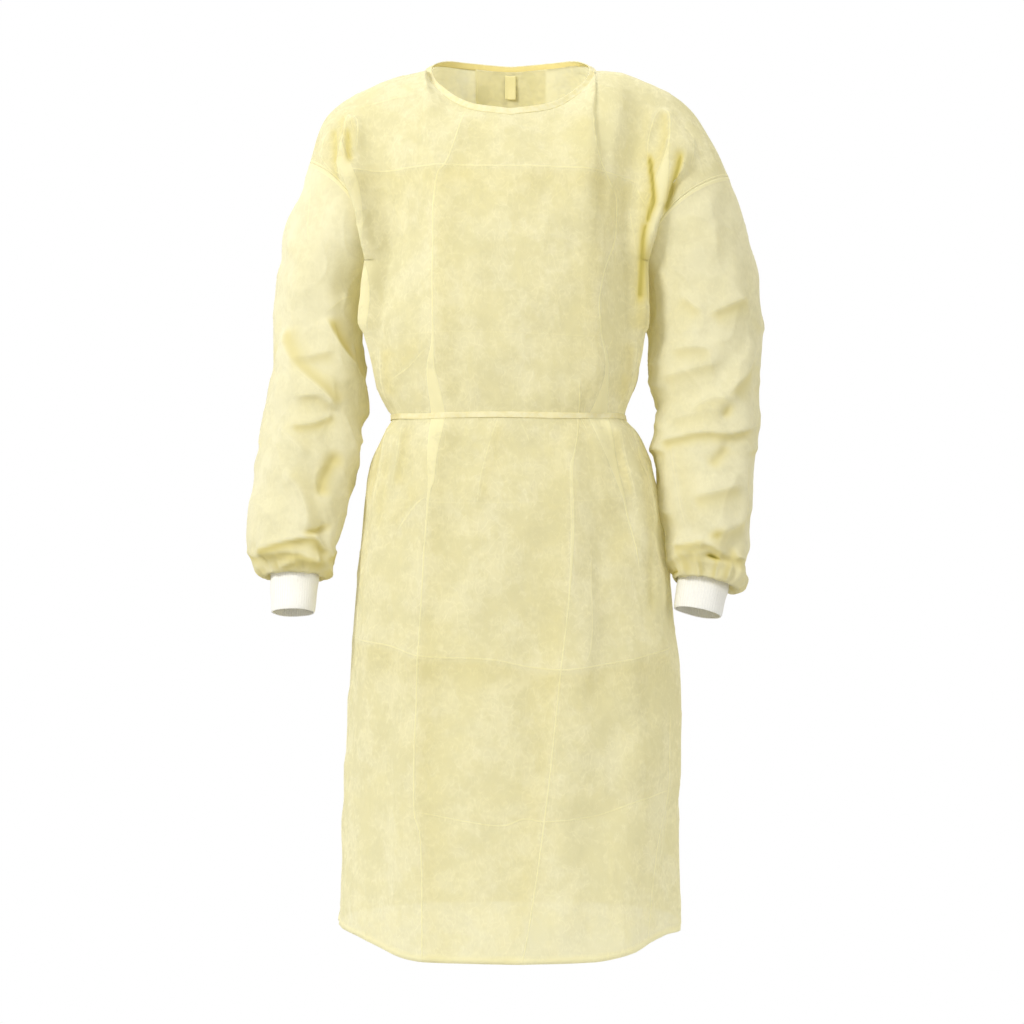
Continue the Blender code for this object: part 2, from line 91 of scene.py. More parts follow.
def start_material(name):
    """An empty node material."""
    material = bpy.data.materials.new(name)
    material.use_nodes = True
    material.node_tree.nodes.clear()
    MATERIALS[name] = material
    return material.node_tree


def node(tree, kind, inputs=(), **settings):
    """Adds a node, sets its fields, and fills its inputs with numbers or links."""
    made = tree.nodes.new(kind)
    for field, value in settings.items():
        setattr(made, field, value)
    for place, value in dict(inputs).items():
        if isinstance(value, bpy.types.NodeSocket):
            tree.links.new(value, made.inputs[place])
        else:
            made.inputs[place].default_value = value
    return made


def maths(tree, operation, *values, clamp=False):
    """The result of one step of arithmetic."""
    made = node(tree, "ShaderNodeMath", dict(enumerate(values)), operation=operation, use_clamp=clamp)
    return made.outputs[0]


def between(tree, value, low, high, to_low=0.0, to_high=1.0):
    """A value carried smoothly from one range to another."""
    ends = {"From Min": low, "From Max": high, "To Min": to_low, "To Max": to_high}
    made = node(tree, "ShaderNodeMapRange", {"Value": value, **ends}, interpolation_type="SMOOTHSTEP")
    return made.outputs["Result"]


def noise(tree, scale, detail, roughness=0.5, place=None):
    """Clouds in the piece's own space, or at the places that are given."""
    if place is None:
        place = node(tree, "ShaderNodeTexCoord").outputs["Object"]
    looks = {"Vector": place, "Scale": scale, "Detail": detail, "Roughness": roughness}
    return node(tree, "ShaderNodeTexNoise", looks).outputs["Fac"]


def blend(tree, share, first, second):
    """A colour on the way from the first to the second."""
    colours = {"Factor": share, "A": first, "B": second}
    return node(tree, "ShaderNodeMix", colours, data_type="RGBA").outputs["Result"]


def bumped(tree, height, strength, distance):
    """Directions of a surface whose relief is only drawn."""
    relief = {"Height": height, "Strength": strength, "Distance": distance}
    return node(tree, "ShaderNodeBump", relief).outputs[0]


def shader(tree, kind, **looks):
    """A shader with its looks, whose names have underscores in place of spaces."""
    named = {word.replace("_", " "): value for word, value in looks.items()}
    return node(tree, "ShaderNodeBsdf" + kind, named).outputs[0]


def mixed(tree, share, first, second):
    """Two shaders in one."""
    return node(tree, "ShaderNodeMixShader", {"Fac": share, 1: first, 2: second}).outputs[0]


def put_out(tree, surface):
    """Ends a material with its finished surface."""
    node(tree, "ShaderNodeOutputMaterial", {"Surface": surface})


def number(tree, word):
    """A number kept on the points of the mesh."""
    return node(tree, "ShaderNodeAttribute", attribute_name=word).outputs["Fac"]


def map_part(tree, word, part):
    """One part of a map kept in the mesh."""
    flat = node(tree, "ShaderNodeUVMap", uv_map=word).outputs["UV"]
    return node(tree, "ShaderNodeSeparateXYZ", {0: flat}).outputs[part]


print("node helpers are ready")

# %% [markdown]
# The studio is white all round. A world that is brightest at eye level gives the clean
# background, and is dimmer above and below so that folds still have a dark side. Two large
# soft lamps then model the form: one in front on the left, a weaker one on the right.

# %% Light the studio
SKY_ENDS = (0.30, 0.50)
#             place, grey
SKY_STOPS = ((0.34, 0.36), (0.385, 1.0), (0.615, 1.0), (0.67, 0.50))
#         name          place             target            size power
LAMPS = (("lamp_left", (-1.6, -1.7, 0.9), (0.0, 0.0, -0.5), 0.9, 46),
         ("lamp_right", (2.2, -1.8, 0.2), (0.0, 0.0, -0.6), 1.6, 14),
         ("lamp_above", (0.2, 0.9, 1.6), (0.0, 0.0, -0.3), 1.4, 17))
scene = bpy.context.scene
scene.view_settings.view_transform = "Standard"
scene.view_settings.look = "None"

scene.world = bpy.data.worlds.new("white_studio")
scene.world.use_nodes = True
tree = scene.world.node_tree
tree.nodes.clear()
direction = node(tree, "ShaderNodeTexCoord").outputs["Generated"]
upward = node(tree, "ShaderNodeSeparateXYZ", {0: direction}).outputs["Z"]
share = node(tree, "ShaderNodeMapRange", {"Value": upward, "From Min": -1.0, "From Max": 1.0})
sky = node(tree, "ShaderNodeValToRGB", {"Fac": share.outputs["Result"]})
stops = sky.color_ramp.elements
for stop, grey in zip(stops, SKY_ENDS):
    stop.color = (grey, grey, grey, 1)
for place, grey in SKY_STOPS:
    stops.new(place).color = (grey, grey, grey, 1)
backdrop = node(tree, "ShaderNodeBackground", {"Color": sky.outputs["Color"], "Strength": 1.0})
node(tree, "ShaderNodeOutputWorld", {"Surface": backdrop.outputs[0]})

for name, place, target, size, power in LAMPS:
    bpy.ops.object.light_add(type="AREA", location=place)
    lamp = bpy.context.object
    lamp.name = name
    lamp.data.shape = "DISK"
    lamp.data.size = size
    lamp.data.energy = power
    aim = mathutils.Vector(target) - mathutils.Vector(place)
    lamp.rotation_euler = aim.to_track_quat("-Z", "Y").to_euler()

# %% [markdown]
# The gown hangs as on a wearer, so the floor is well below its hem. A wide disc with a soft
# pale finish catches its light, and lies just below the picture's lower edge.

# %% Lay the floor
FLOOR_HEIGHT = -1.45
FLOOR_RADIUS = 0.95
bpy.ops.object.select_all(action="DESELECT")
bpy.ops.mesh.primitive_circle_add(vertices=96, radius=FLOOR_RADIUS, fill_type="NGON", location=(0, 0, 0))
floor = bpy.context.object
floor.name = "studio_floor"
for vertex in floor.data.vertices:
    vertex.co.z = FLOOR_HEIGHT
tree = start_material("floor_paint")
put_out(tree, shader(tree, "Principled", Base_Color=(0.86, 0.86, 0.85, 1), Roughness=0.7))
floor.data.materials.append(MATERIALS["floor_paint"])
print("floor at", FLOOR_HEIGHT)

# %% [markdown]
# The form of the gown
#
# A worn gown is a soft tube below the arms and a yoke above them. Both are described by a
# few measured rows: how wide and deep the body is at each height, where the neck edge and
# the shoulder ridges run, and how far the large folds stand out. These are the same rows
# as in the CAD part, in metres, so that the cloth lies where its solid is.

# %% Body measures
UNDERARM = -0.250
HEM = -1.085
HEM_DIP = 0.022
HEM_DIP_TOP = -0.90
HEM_DIP_SHARES = (0.25, 0.72)
ROUNDNESS = 2.35
#    height   right    left   front    back
SECTIONS = (
    (-0.250, 0.1680, 0.1590, 0.1250, 0.1120),
    (-0.295, 0.1760, 0.1600, 0.1270, 0.1120),
    (-0.335, 0.1780, 0.1620, 0.1270, 0.1100),
    (-0.375, 0.1750, 0.1620, 0.1250, 0.1070),
    (-0.405, 0.1690, 0.1570, 0.1220, 0.1030),
    (-0.428, 0.1590, 0.1480, 0.1180, 0.0990),
    (-0.445, 0.1500, 0.1450, 0.1150, 0.0970),
    (-0.462, 0.1590, 0.1560, 0.1180, 0.1010),
    (-0.490, 0.1710, 0.1720, 0.1250, 0.1090),
    (-0.530, 0.1815, 0.1850, 0.1330, 0.1180),
    (-0.600, 0.1890, 0.1965, 0.1410, 0.1290),
    (-0.700, 0.1985, 0.2070, 0.1490, 0.1400),
    (-0.860, 0.2070, 0.2120, 0.1600, 0.1550),
    (-1.000, 0.2120, 0.2140, 0.1690, 0.1670),
    (-1.085, 0.2160, 0.2165, 0.1750, 0.1730))
NECK_HALF_WIDTH = 0.106
NECK_DEPTH = 0.085
#             turn from the front, height of the edge
NECK_EDGE = ((0, -0.0709), (30, -0.0610), (60, -0.0330), (90, -0.0045),
             (120, 0.0110), (150, 0.0125), (180, 0.0100))
NECK_SHARE = 7 / 16
#                  outward  height
SHOULDER_RIGHT = ((0.1060, -0.0045), (0.1440, -0.0130), (0.1800, -0.0270), (0.2195, -0.0490),
                  (0.2335, -0.0630), (0.2430, -0.0820), (0.2500, -0.1050), (0.2546, -0.1220))
SHOULDER_LEFT = ((0.1060, -0.0045), (0.1400, -0.0090), (0.1750, -0.0210), (0.2170, -0.0430),
                 (0.2315, -0.0570), (0.2480, -0.0820), (0.2640, -0.1120), (0.2770, -0.1400))
NECK_LEAVE = (0.20, -0.33)
SHOULDER_LEAVE = (0.38, 0.0)
UNDERARM_REACH = 0.40
SHOULDER_FROM = 0.10
ARMHOLE_FROM = 0.50
ARMHOLE_FRONT = 0.074
ARMHOLE_BACK = 0.078
ARMHOLE_SCOOP = 0.020
BACK_OVERLAP = 2 / 16
BELT_HEIGHT = -0.445
UNDERLAP_DEPTH = 0.0019
RIGHT, LEFT = -1, 1
print("sections:", len(SECTIONS), "from", SECTIONS[0][0], "to", SECTIONS[-1][0])

# %% Large folds of the body
# A share of 0 is the middle of a panel and 1 its side seam. A level of 0 is the neck, 1 the
# underarm and 2 the hem.
#             share  share  level  level  half
#    panel    at top at end of top of end width  rise
FOLDS = (
    ("front", -0.81, -0.79, 0.25, 1.22, 0.125, 0.0230),
    ("front", 0.81, 0.79, 0.25, 1.22, 0.125, 0.0220),
    ("front", -0.64, -0.60, 0.15, 1.10, 0.120, -0.0070),
    ("front", 0.64, 0.60, 0.15, 1.10, 0.120, -0.0070),
    ("front", -0.26, -0.30, 0.55, 1.42, 0.110, 0.0045),
    ("front", 0.36, 0.40, 0.45, 1.40, 0.120, 0.0040),
    ("front", -0.34, -0.38, 1.16, 2.10, 0.130, 0.0055),
    ("front", 0.26, 0.12, 1.12, 2.10, 0.120, 0.0050),
    ("front", -0.66, -0.60, 1.14, 1.80, 0.140, 0.0060),
    ("front", 0.62, 0.66, 1.14, 1.80, 0.140, 0.0070),
    ("front", 0.84, 0.80, 1.56, 2.10, 0.120, 0.0045),
    ("back", -0.80, -0.79, 0.25, 1.22, 0.125, 0.0150),
    ("back", 0.80, 0.79, 0.25, 1.22, 0.125, 0.0150),
    ("back", -0.55, -0.52, 0.50, 1.40, 0.130, 0.0050),
    ("back", 0.52, 0.50, 0.60, 1.40, 0.130, 0.0050),
    ("back", -0.38, -0.42, 1.12, 2.10, 0.130, 0.0080),
    ("back", 0.40, 0.46, 1.12, 2.10, 0.130, 0.0070),
    ("back", -0.72, -0.76, 1.14, 2.10, 0.130, 0.0070),
    ("back", 0.74, 0.78, 1.14, 2.10, 0.130, 0.0080))
FOLD_TURN = 0.62
FOLD_GROWTH = 6.4
FOLD_SEAM_SHARE = 0.06
print("large folds:", len(FOLDS))

# %% [markdown]
# Cloth is easiest to place by two numbers: how far across its panel a point is, and how far
# down. A few helpers turn the measured rows into smooth curves, and one function after
# another turns the two numbers into a point of the gown. All of them take whole grids of
# numbers at once, so a fine mesh costs no time.

# %% Smooth curves
def spline(knots, values, at):
    """Smooth values at many places, with slopes taken from the neighbouring knots."""
    knots = np.asarray(knots, float)
    values = np.asarray(values, float)
    at = np.asarray(at, float)
    slopes = np.gradient(values, knots, axis=0)
    i = np.clip(np.searchsorted(knots, at) - 1, 0, len(knots) - 2)
    span = knots[i + 1] - knots[i]
    t = (at - knots[i]) / span
    if values.ndim > 1:
        span = span[..., None]
        t = t[..., None]
    return ((1 + 2 * t) * (1 - t) ** 2 * values[i] + t * (1 - t) ** 2 * span * slopes[i]
            + t * t * (3 - 2 * t) * values[i + 1] + t * t * (t - 1) * span * slopes[i + 1])


def from_table(table, height):
    """Rows of a table at many heights. Heights run downwards in it."""
    rows = np.array(table)
    return spline(-rows[:, 0], rows[:, 1:], -np.asarray(height, float))


def ease(value, start, end):
    """0 before the start and 1 after the end, with a smooth rise between them."""
    t = np.clip((np.asarray(value, float) - start) / (end - start), 0, 1)
    return t * t * (3 - 2 * t)


def unit(vectors):
    """The directions of vectors."""
    return vectors / np.maximum(np.linalg.norm(vectors, axis=-1, keepdims=True), 1e-9)


def bezier(p0, p1, p2, p3, t):
    """A curve between two points, pulled by two more."""
    s = 1 - t
    return s ** 3 * p0 + 3 * s * s * t * p1 + 3 * s * t * t * p2 + t ** 3 * p3


def level_at(height):
    """The level down the body at a height."""
    return 1 + (np.asarray(height, float) - UNDERARM) / (HEM - UNDERARM)


print("belt level:", round(float(level_at(BELT_HEIGHT)), 3))

# %% Neck, shoulders and armholes
def neck_point(turn):
    """The edge of the neck opening, at turns in degrees from the front towards the left."""
    angle = np.radians(turn)
    rows = np.array(NECK_EDGE)
    folded = np.abs((np.asarray(turn, float) + 180) % 360 - 180)
    height = spline(rows[:, 0], rows[:, 1], folded)
    return np.stack((NECK_HALF_WIDTH * np.sin(angle), -NECK_DEPTH * np.cos(angle), height), -1)


def shoulder_point(side, share):
    """The shoulder ridge of one side, from 0 at the neck to 1 at the sleeve seam."""
    table = np.array(SHOULDER_LEFT if side == LEFT else SHOULDER_RIGHT)
    lengths = np.concatenate(([0], np.cumsum(np.linalg.norm(np.diff(table, axis=0), axis=1))))
    ridge = spline(lengths / lengths[-1], table, np.clip(share, 0, 1))
    return np.stack((side * ridge[..., 0], 0 * ridge[..., 0], ridge[..., 1]), -1)


def hip_point(back, share, height):
    """The body as a rounded ring, without its folds."""
    right, left, front, rear = np.moveaxis(from_table(SECTIONS, height), -1, 0)
    angle = np.abs(share) * math.pi / 2
    power = 2 / ROUNDNESS
    out = np.where(share > 0, left, right) * np.sin(angle) ** power
    depth = (rear if back else -front) * np.maximum(np.cos(angle), 0) ** power
    return np.stack(np.broadcast_arrays(np.sign(share) * out, depth, height), -1)


def armhole_point(side, turn):
    """The sleeve seam: 0 at its top, 90 in front, 180 under the arm and 270 behind."""
    turn = np.asarray(turn, float)
    angle = np.radians(turn)[..., None]
    top = shoulder_point(side, 1.0)
    under = hip_point(False, float(side), UNDERARM)
    middle = (top + under) / 2
    half = (top - under) / 2
    inward = np.array((-half[2], 0.0, half[0])) / np.linalg.norm(half) * -side
    if inward[0] * side > 0:
        inward = -inward
    depth = np.where(turn < 180, -ARMHOLE_FRONT, -ARMHOLE_BACK)[..., None] * np.array((0, 1, 0))
    return (middle + np.cos(angle) * half + depth * np.sin(angle)
            + ARMHOLE_SCOOP * np.sin(angle) ** 2 * inward)


print("front of the neck:", neck_point(0).round(4), "sleeve seam top:", armhole_point(LEFT, 0).round(4))

# %% The whole body surface
def top_point(back, share):
    """The upper edge of a panel: the neck edge in the middle and the shoulder ridge beyond."""
    side = np.where(share > 0, LEFT, RIGHT)
    turn = np.clip(np.abs(share) / NECK_SHARE, 0, 1) * 90
    neck = neck_point(side * (180 - turn if back else turn))
    out = (np.abs(share) - NECK_SHARE) / (1 - NECK_SHARE)
    ridge = np.where((share > 0)[..., None], shoulder_point(LEFT, out), shoulder_point(RIGHT, out))
    return np.where((np.abs(share) <= NECK_SHARE)[..., None], neck, ridge)


def yoke_point(back, share, level):
    """The body from the neck and shoulders down to the underarm, ending at the armhole."""
    t = level[..., None]
    at_left = (share > 0)[..., None]
    top = top_point(back, share)
    under = hip_point(back, share, np.full_like(share, UNDERARM))
    drop = (top[..., 2] - under[..., 2])[..., None]
    shoulder = ease(np.abs(share), SHOULDER_FROM, NECK_SHARE)[..., None]
    forward = NECK_LEAVE[0] * (1 - shoulder) + SHOULDER_LEAVE[0] * shoulder
    down = NECK_LEAVE[1] * (1 - shoulder) + SHOULDER_LEAVE[1] * shoulder
    leave = drop * (forward * np.array((0, 1 if back else -1, 0)) + down * np.array((0, 0, 1)))
    rise = drop * UNDERARM_REACH * np.array((0, 0, 1))
    column = bezier(top, top + leave, under + rise, under, t)
    turn = 360 - 180 * level if back else 180 * level
    swings = []
    for side in (LEFT, RIGHT):
        seam_top = shoulder_point(side, 1.0)
        seam_under = hip_point(back, float(side), UNDERARM)
        straight = bezier(seam_top, seam_top, seam_under, seam_under, t)
        swings.append(armhole_point(side, turn) - straight)
    armward = ease(np.abs(share), ARMHOLE_FROM, 1.0)[..., None]
    beside = bezier(top, top, under, under, t) + np.where(at_left, *swings) * armward
    return column * (1 - armward) + beside * armward


def fold_rise(panel, share, level):
    """How far the large folds carry the cloth out of the plain form."""
    rise = np.zeros_like(share)
    for name, share_top, share_end, level_top, level_end, half_width, height in FOLDS:
        if name == panel:
            along = np.clip((level - level_top) / (level_end - level_top), 0, 1)
            across = (share - share_top - (share_end - share_top) * along) / half_width
            hump = np.maximum(1 - across ** 2, 0) ** 2
            rise += height * hump * np.minimum(1, FOLD_GROWTH * along * (1 - along))
    return rise * ease(1 - np.abs(share), 0, FOLD_SEAM_SHARE)


def body_point(back, share, level):
    """Points on the outside of the body at shares of the panel and levels down it."""
    share, level = np.broadcast_arrays(np.asarray(share, float), np.asarray(level, float))
    height = UNDERARM + (level - 1) * (HEM - UNDERARM)
    yoke = yoke_point(back, share, np.clip(level, 0, 1))
    hips = hip_point(back, share, np.minimum(height, UNDERARM))
    point = np.where((level <= 1)[..., None], yoke, hips)
    if not back:
        dip = HEM_DIP * (1 - ease(np.abs(share), *HEM_DIP_SHARES))
        drop = np.clip((HEM_DIP_TOP - height) / (HEM_DIP_TOP - HEM), 0, None)
        point = point - (dip * drop)[..., None] * np.array((0, 0, 1))
    angle = share * math.pi / 2 * FOLD_TURN
    outward = np.stack((np.sin(angle), (1 if back else -1) * np.cos(angle), 0 * angle), -1)
    return point + outward * fold_rise("back" if back else "front", share, level)[..., None]


trial = body_point(False, np.linspace(-1, 1, 5), 1.5)
print("a ring of the skirt:", trial.round(3).tolist())

# %% [markdown]
# Creases
#
# The gown was folded flat in its bag. Where it was folded, the fibres are pressed and the
# cloth keeps a sharp line, with a slight roof shape on both sides. Where the belt and the
# arms hold it, it lies in pleats: a doubled strip that is brighter and hides more, with a
# tucked place beside it. There the yellow is painted deeper and darker: painted shade of the
# tuck, together with the deeper yellow of several layers lying there. Such lines can be laid
# in the mesh, or only drawn in the material. Here both are done from one table: the mesh
# takes the rise, and a map kept in the mesh tells the material how far each point is from
# the nearest line, so the line stays thin and crisp.

# %% Creases of the front
# All in millimetres. Walk along a line from its first point: the cloth rises by so much
# there, with a slope on the left hand and one on the right. Then come the strength of the
# pressed line and the painted shade on the left and the right hand, a deeper yellow that
# stands for shade in the tuck and for the layers lying there. A point is x and
# height, and for a doubled strip also half of its width.
#    rise left right press shade shade points
FRONT_ALONG = (
    (2.6, 12, 14, 1.00, 0.16, 0, ((-55, -65), (-77, -131), (-89, -152), (-93, -212), (-94, -280),
     (-94, -354, 1), (-96, -390, 4.4), (-89, -445, 8), (-94, -488, 5.3), (-97, -525, 3.5),
     (-100, -546, 1), (-107, -649), (-114, -789), (-116, -920), (-108, -963), (-106, -1120))),
    (2.4, 12, 12, 0.95, 0, 0.16, ((102, -66), (105, -119), (116, -146), (129, -175), (128, -219),
     (115, -263), (108, -304), (111, -342), (116, -372, 1), (116, -403, 3), (109, -439, 9.8),
     (110, -456, 11), (126, -505, 4), (138, -548, 1), (147, -584), (158, -634))),
    (2.4, 10, 12, 0.90, 0, 0.14, ((84, -398), (83, -450), (78, -490), (74, -514, 1.6), (75, -586, 1.6),
     (70, -676), (61, -755), (45, -904), (25, -1048), (10, -1125))),
    (1.6, 10, 10, 0.50, 0, 0, ((197, -809), (195, -913), (183, -955), (173, -1022), (169, -1090))),
    (1.2, 8, 8, 0.30, 0, 0, ((98, -600), (97, -719), (88, -750))))
FRONT_ACROSS = (
    (2.0, 14, 12, 0.75, 0, 0.2, ((-205, -141), (-150, -140), (-95, -138), (-13, -140), (55, -141),
     (115, -145), (160, -155))),
    (-1.4, 16, 16, 0.10, 0, 0, ((-150, -346), (-60, -343), (70, -347), (150, -350))),
    (1.2, 14, 14, 0.10, 0, 0, ((-150, -548), (-50, -553), (90, -550), (150, -545))),
    (2.4, 14, 12, 0.70, 0, 0.2, ((-205, -719), (-144, -728), (-108, -739), (-28, -742), (21, -751),
     (62, -755), (108, -750), (152, -743), (202, -731))),
    (-2.2, 16, 16, 0.60, 0, 0, ((-113, -927), (-43, -939), (-8, -942), (16, -934), (42, -937),
     (103, -932), (152, -918), (198, -908))))
FRONT_FOLDS = (
    (2.0, 6, 8, 0.6, 0, 0.2, ((-98, -360), (-125, -385), (-148, -400))),
    (2.0, 6, 8, 0.6, 0, 0.2, ((-100, -544), (-114, -554), (-140, -589))),
    (1.6, 5, 5, 0.5, 0, 0, ((128, -346), (115, -369))),
    (1.8, 6, 8, 0.35, 0.2, 0, ((-15, -448), (-34, -510), (-41, -556))),
    (1.8, 6, 8, 0.30, 0, 0, ((11, -450), (26, -484))),
    (5.0, 12, 4, 0.85, 0, 0.5, ((-197, -60), (-203, -69), (-207, -94), (-210, -110, 1), (-205, -142, 7),
     (-200, -167, 11), (-194, -211, 11), (-188, -252, 10), (-182, -293, 7), (-179, -342, 2))),
    (3.0, 6, 5, 0.6, 0, 0.3, ((-199, -63), (-192, -76), (-191, -94), (-193, -118))),
    (-4.0, 4, 4, 0, 0.95, 0.95, ((-203, -80), (-202, -112), (-200, -138))),
    (-3.5, 5, 5, 0, 0.7, 0.7, ((-222, -76), (-219, -105), (-216, -138))),
    (2.5, 6, 6, 0.5, 0, 0, ((-230, -86), (-234, -107), (-232, -126), (-213, -150))),
    (1.5, 6, 6, 0.3, 0, 0, ((-197, -58), (-165, -52), (-125, -45))),
    (3.0, 5, 6, 0.6, 0, 0.2, ((190, -59), (181, -68), (173, -94), (171, -113), (173, -150))),
    (5.0, 8, 5, 0.85, 0, 0.5, ((188, -55), (198, -69), (199, -94), (197, -113, 1), (192, -143, 5),
     (185, -173, 8), (178, -206, 7), (173, -252, 7.5), (171, -300, 5), (168, -345, 1))),
    (-4.5, 5, 4, 0, 1.3, 1.3, ((173, -112), (175, -141), (177.5, -176), (171, -196), (165, -214))),
    (-4.0, 6, 5, 0, 1.2, 1.2, ((170, -196), (165, -214), (163, -245), (162, -273), (160, -310))),
    (-4.0, 5, 5, 0, 1.2, 1.2, ((214, -108), (204, -150), (190, -200))),
    (2.5, 5, 5, 0.45, 0, 0, ((226, -86), (228, -108), (226, -132))),
    (2.0, 5, 5, 0.4, 0, 0, ((155, -155), (164, -175), (174, -195))),
    (2.5, 6, 6, 0.45, 0, 0, ((147, -180), (153, -215), (160, -256))),
    (-3.5, 6, 6, 0, 0.3, 0.3, ((160, -478), (169, -538), (173, -600), (176, -690))),
    (-3.0, 7, 7, 0, 0.15, 0.15, ((-152, -478), (-160, -530), (-163, -590))),
    (3.6, 6, 5, 0.35, 0, 0.35, ((-142, -449), (-153, -474), (-163, -511), (-171, -555))),
    (3.0, 5, 6, 0.30, 0.3, 0, ((-133, -450), (-138, -486), (-148, -536))),
    (3.0, 5, 6, 0.30, 0, 0.35, ((-153, -430), (-159, -399), (-162, -355))),
    (3.6, 5, 6, 0.35, 0.35, 0, ((147, -452), (162, -493), (174, -536), (182, -586))),
    (3.0, 6, 5, 0.30, 0, 0.3, ((131, -454), (139, -486), (154, -549))),
    (3.0, 6, 5, 0.30, 0.35, 0, ((143, -430), (152, -393), (157, -349))))
print("creases on the front:", len(FRONT_ALONG), "down,", len(FRONT_ACROSS), "across")
print("folds on the front:", len(FRONT_FOLDS))

# %% Creases of the backs
# They aren't in view, so the same folding is continued there, uneven in its own way, and
# the folds at belt and arms are those of the front as seen in a mirror.
BACK_ACROSS = (
    (1.8, 14, 12, 0.7, 0, 0.1, ((-205, -150), (-90, -143), (20, -146), (195, -141))),
    (-1.5, 16, 16, 0.15, 0, 0, ((-180, -352), (-40, -347), (80, -343), (180, -346))),
    (1.2, 14, 14, 0.15, 0, 0, ((-180, -540), (-60, -549), (70, -545), (180, -552))),
    (2.4, 14, 12, 0.85, 0, 0.1, ((-205, -728), (-110, -739), (-20, -733), (80, -744), (205, -724))),
    (-2.2, 16, 16, 0.7, 0, 0, ((-205, -912), (-90, -931), (10, -925), (120, -938), (205, -921))))
BACK_ALONG = (
    (2.4, 12, 13, 0.9, 0, 0, ((-98, -60), (-104, -200), (-96, -350), (-91, -400, 3), (-88, -445, 7),
     (-95, -500, 4), (-99, -560), (-112, -780), (-109, -930), (-120, -1120))),
    (2.2, 12, 12, 0.9, 0, 0, ((90, -70), (97, -190), (103, -330), (98, -390, 4), (96, -445, 9),
     (101, -520, 5), (104, -620), (93, -800), (108, -960), (102, -1120))))


def mirrored(lines):
    """The same creases with right and left exchanged, and with weaker painted shade."""
    turned = []
    for rise, left, right, press, shade_left, shade_right, points in lines:
        points = [(-p[0],) + tuple(p[1:]) for p in points]
        turned.append((rise, right, left, press, shade_right * 0.6, shade_left * 0.6, points))
    return turned


print("creases on the backs:", len(BACK_ALONG), "down,", len(BACK_ACROSS), "across")

# %% Measure each point's distance to the creases
LINE_REACH = 0.008
FAR = 0.020
THIN = 0.4
END_FADE = 0.015


def to_path(flat, path):
    """Signed distance to a path, positive on its left hand, with metres along and half width."""
    nearest = np.full(len(flat), 9.0)
    away, along, broad = np.zeros((3, len(flat)))
    start = 0.0
    for first, last in zip(path, path[1:]):
        step = last[:2] - first[:2]
        length = np.linalg.norm(step)
        offset = flat - first[:2]
        share = np.clip(offset @ step / length ** 2, 0, 1)
        offset = offset - share[:, None] * step
        gap = np.linalg.norm(offset, axis=-1)
        closer = gap < nearest
        hand = np.where(step[0] * offset[:, 1] > step[1] * offset[:, 0], 1, -1)
        nearest = np.where(closer, gap, nearest)
        away = np.where(closer, hand * gap, away)
        along = np.where(closer, start + share * length, along)
        broad = np.where(closer, first[2] + share * (last[2] - first[2]), broad)
        start += length
    return away, along, broad, start


def crease_field(lines, flat):
    """Lift, painted shade of the tucks, signed distance, strength and half width that a set of creases
    makes.
    """
    lift, deep, press, width = np.zeros((4,) + flat.shape[:2])
    signed = np.full(flat.shape[:2], FAR)
    nearest, second = np.full((2,) + flat.shape[:2], 9.0)
    for rise, left, right, strength, shade_left, shade_right, points in lines:
        knots = np.array([tuple(p) + (THIN,) if len(p) == 2 else p for p in points]) / 1000
        count = len(knots)
        path = spline(np.arange(count), knots, np.linspace(0, count - 1, 6 * count - 5))
        path[:, 2] = np.maximum(path[:, 2], 0.0003)
        margin = (3 * max(left, right) + 12) / 1000 + path[:, 2].max()
        lowest, highest = path[:, :2].min(axis=0) - margin, path[:, :2].max(axis=0) + margin
        near = np.all((flat > lowest) & (flat < highest), axis=-1)
        if not near.any():
            continue
        away, along, broad, length = to_path(flat[near], path)
        fade = ease(along, 0, END_FADE) * ease(length - along, 0, END_FADE)
        gap = np.abs(away) - broad
        slope = np.maximum(gap, 0) * 1000 / np.where(away > 0, left, right)
        lift[near] += rise / 1000 * fade * np.exp(-slope ** 1.4)
        # Painted shade: along the middle of a trough, and on the steep side beside a ridge.
        shaded_side = np.exp(-slope ** 2) if rise < 0 else slope * np.exp(1 - slope)
        deep[near] = np.maximum(deep[near], shaded_side * fade * np.where(away > 0, shade_left, shade_right))
        if strength > 0:
            here = gap < nearest[near]
            second[near] = np.where(here, nearest[near], np.minimum(second[near], gap))
            nearest[near] = np.minimum(nearest[near], gap)
            signed[near] = np.where(here, away, signed[near])
            press[near] = np.where(here, strength * fade, press[near])
            width[near] = np.where(here, broad, width[near])
    press *= ease(LINE_REACH - nearest, 0, 0.003) * ease(second - nearest, 0, 0.004)
    signed = np.clip(signed, -FAR, FAR)
    return {"lift": lift, "deep": deep, "signed": signed, "press": press, "width": width}


print("a pressed line is drawn within", LINE_REACH, "m")

# %% [markdown]
# Between the pressed lines the cloth isn't flat. It swells and sinks a little everywhere,
# more along its length than across, because it hangs. Adding up a few dozen waves that run
# in many directions gives such uneven ground. They are measured in space and not on the
# panel, so two panels that meet at a seam move together.

# %% Uneven ground
def swells(points, wavelength, seed, stretch=(1.0, 1.0, 1.0), count=28):
    """Soft hills and hollows of about that wavelength, mostly between -1 and 1."""
    rng = np.random.default_rng(seed)
    heading = rng.normal(size=(count, 3))
    heading /= np.linalg.norm(heading, axis=1)[:, None]
    pace = 2 * math.pi / wavelength * rng.uniform(0.75, 1.3, count)
    start = rng.uniform(0, 2 * math.pi, count)
    spots = points * np.array(stretch)
    total = np.zeros(points.shape[:-1])
    for way, speed, shift in zip(heading, pace, start):
        total += np.cos(spots @ way * speed + shift)
    return total / math.sqrt(count / 2) / 1.6


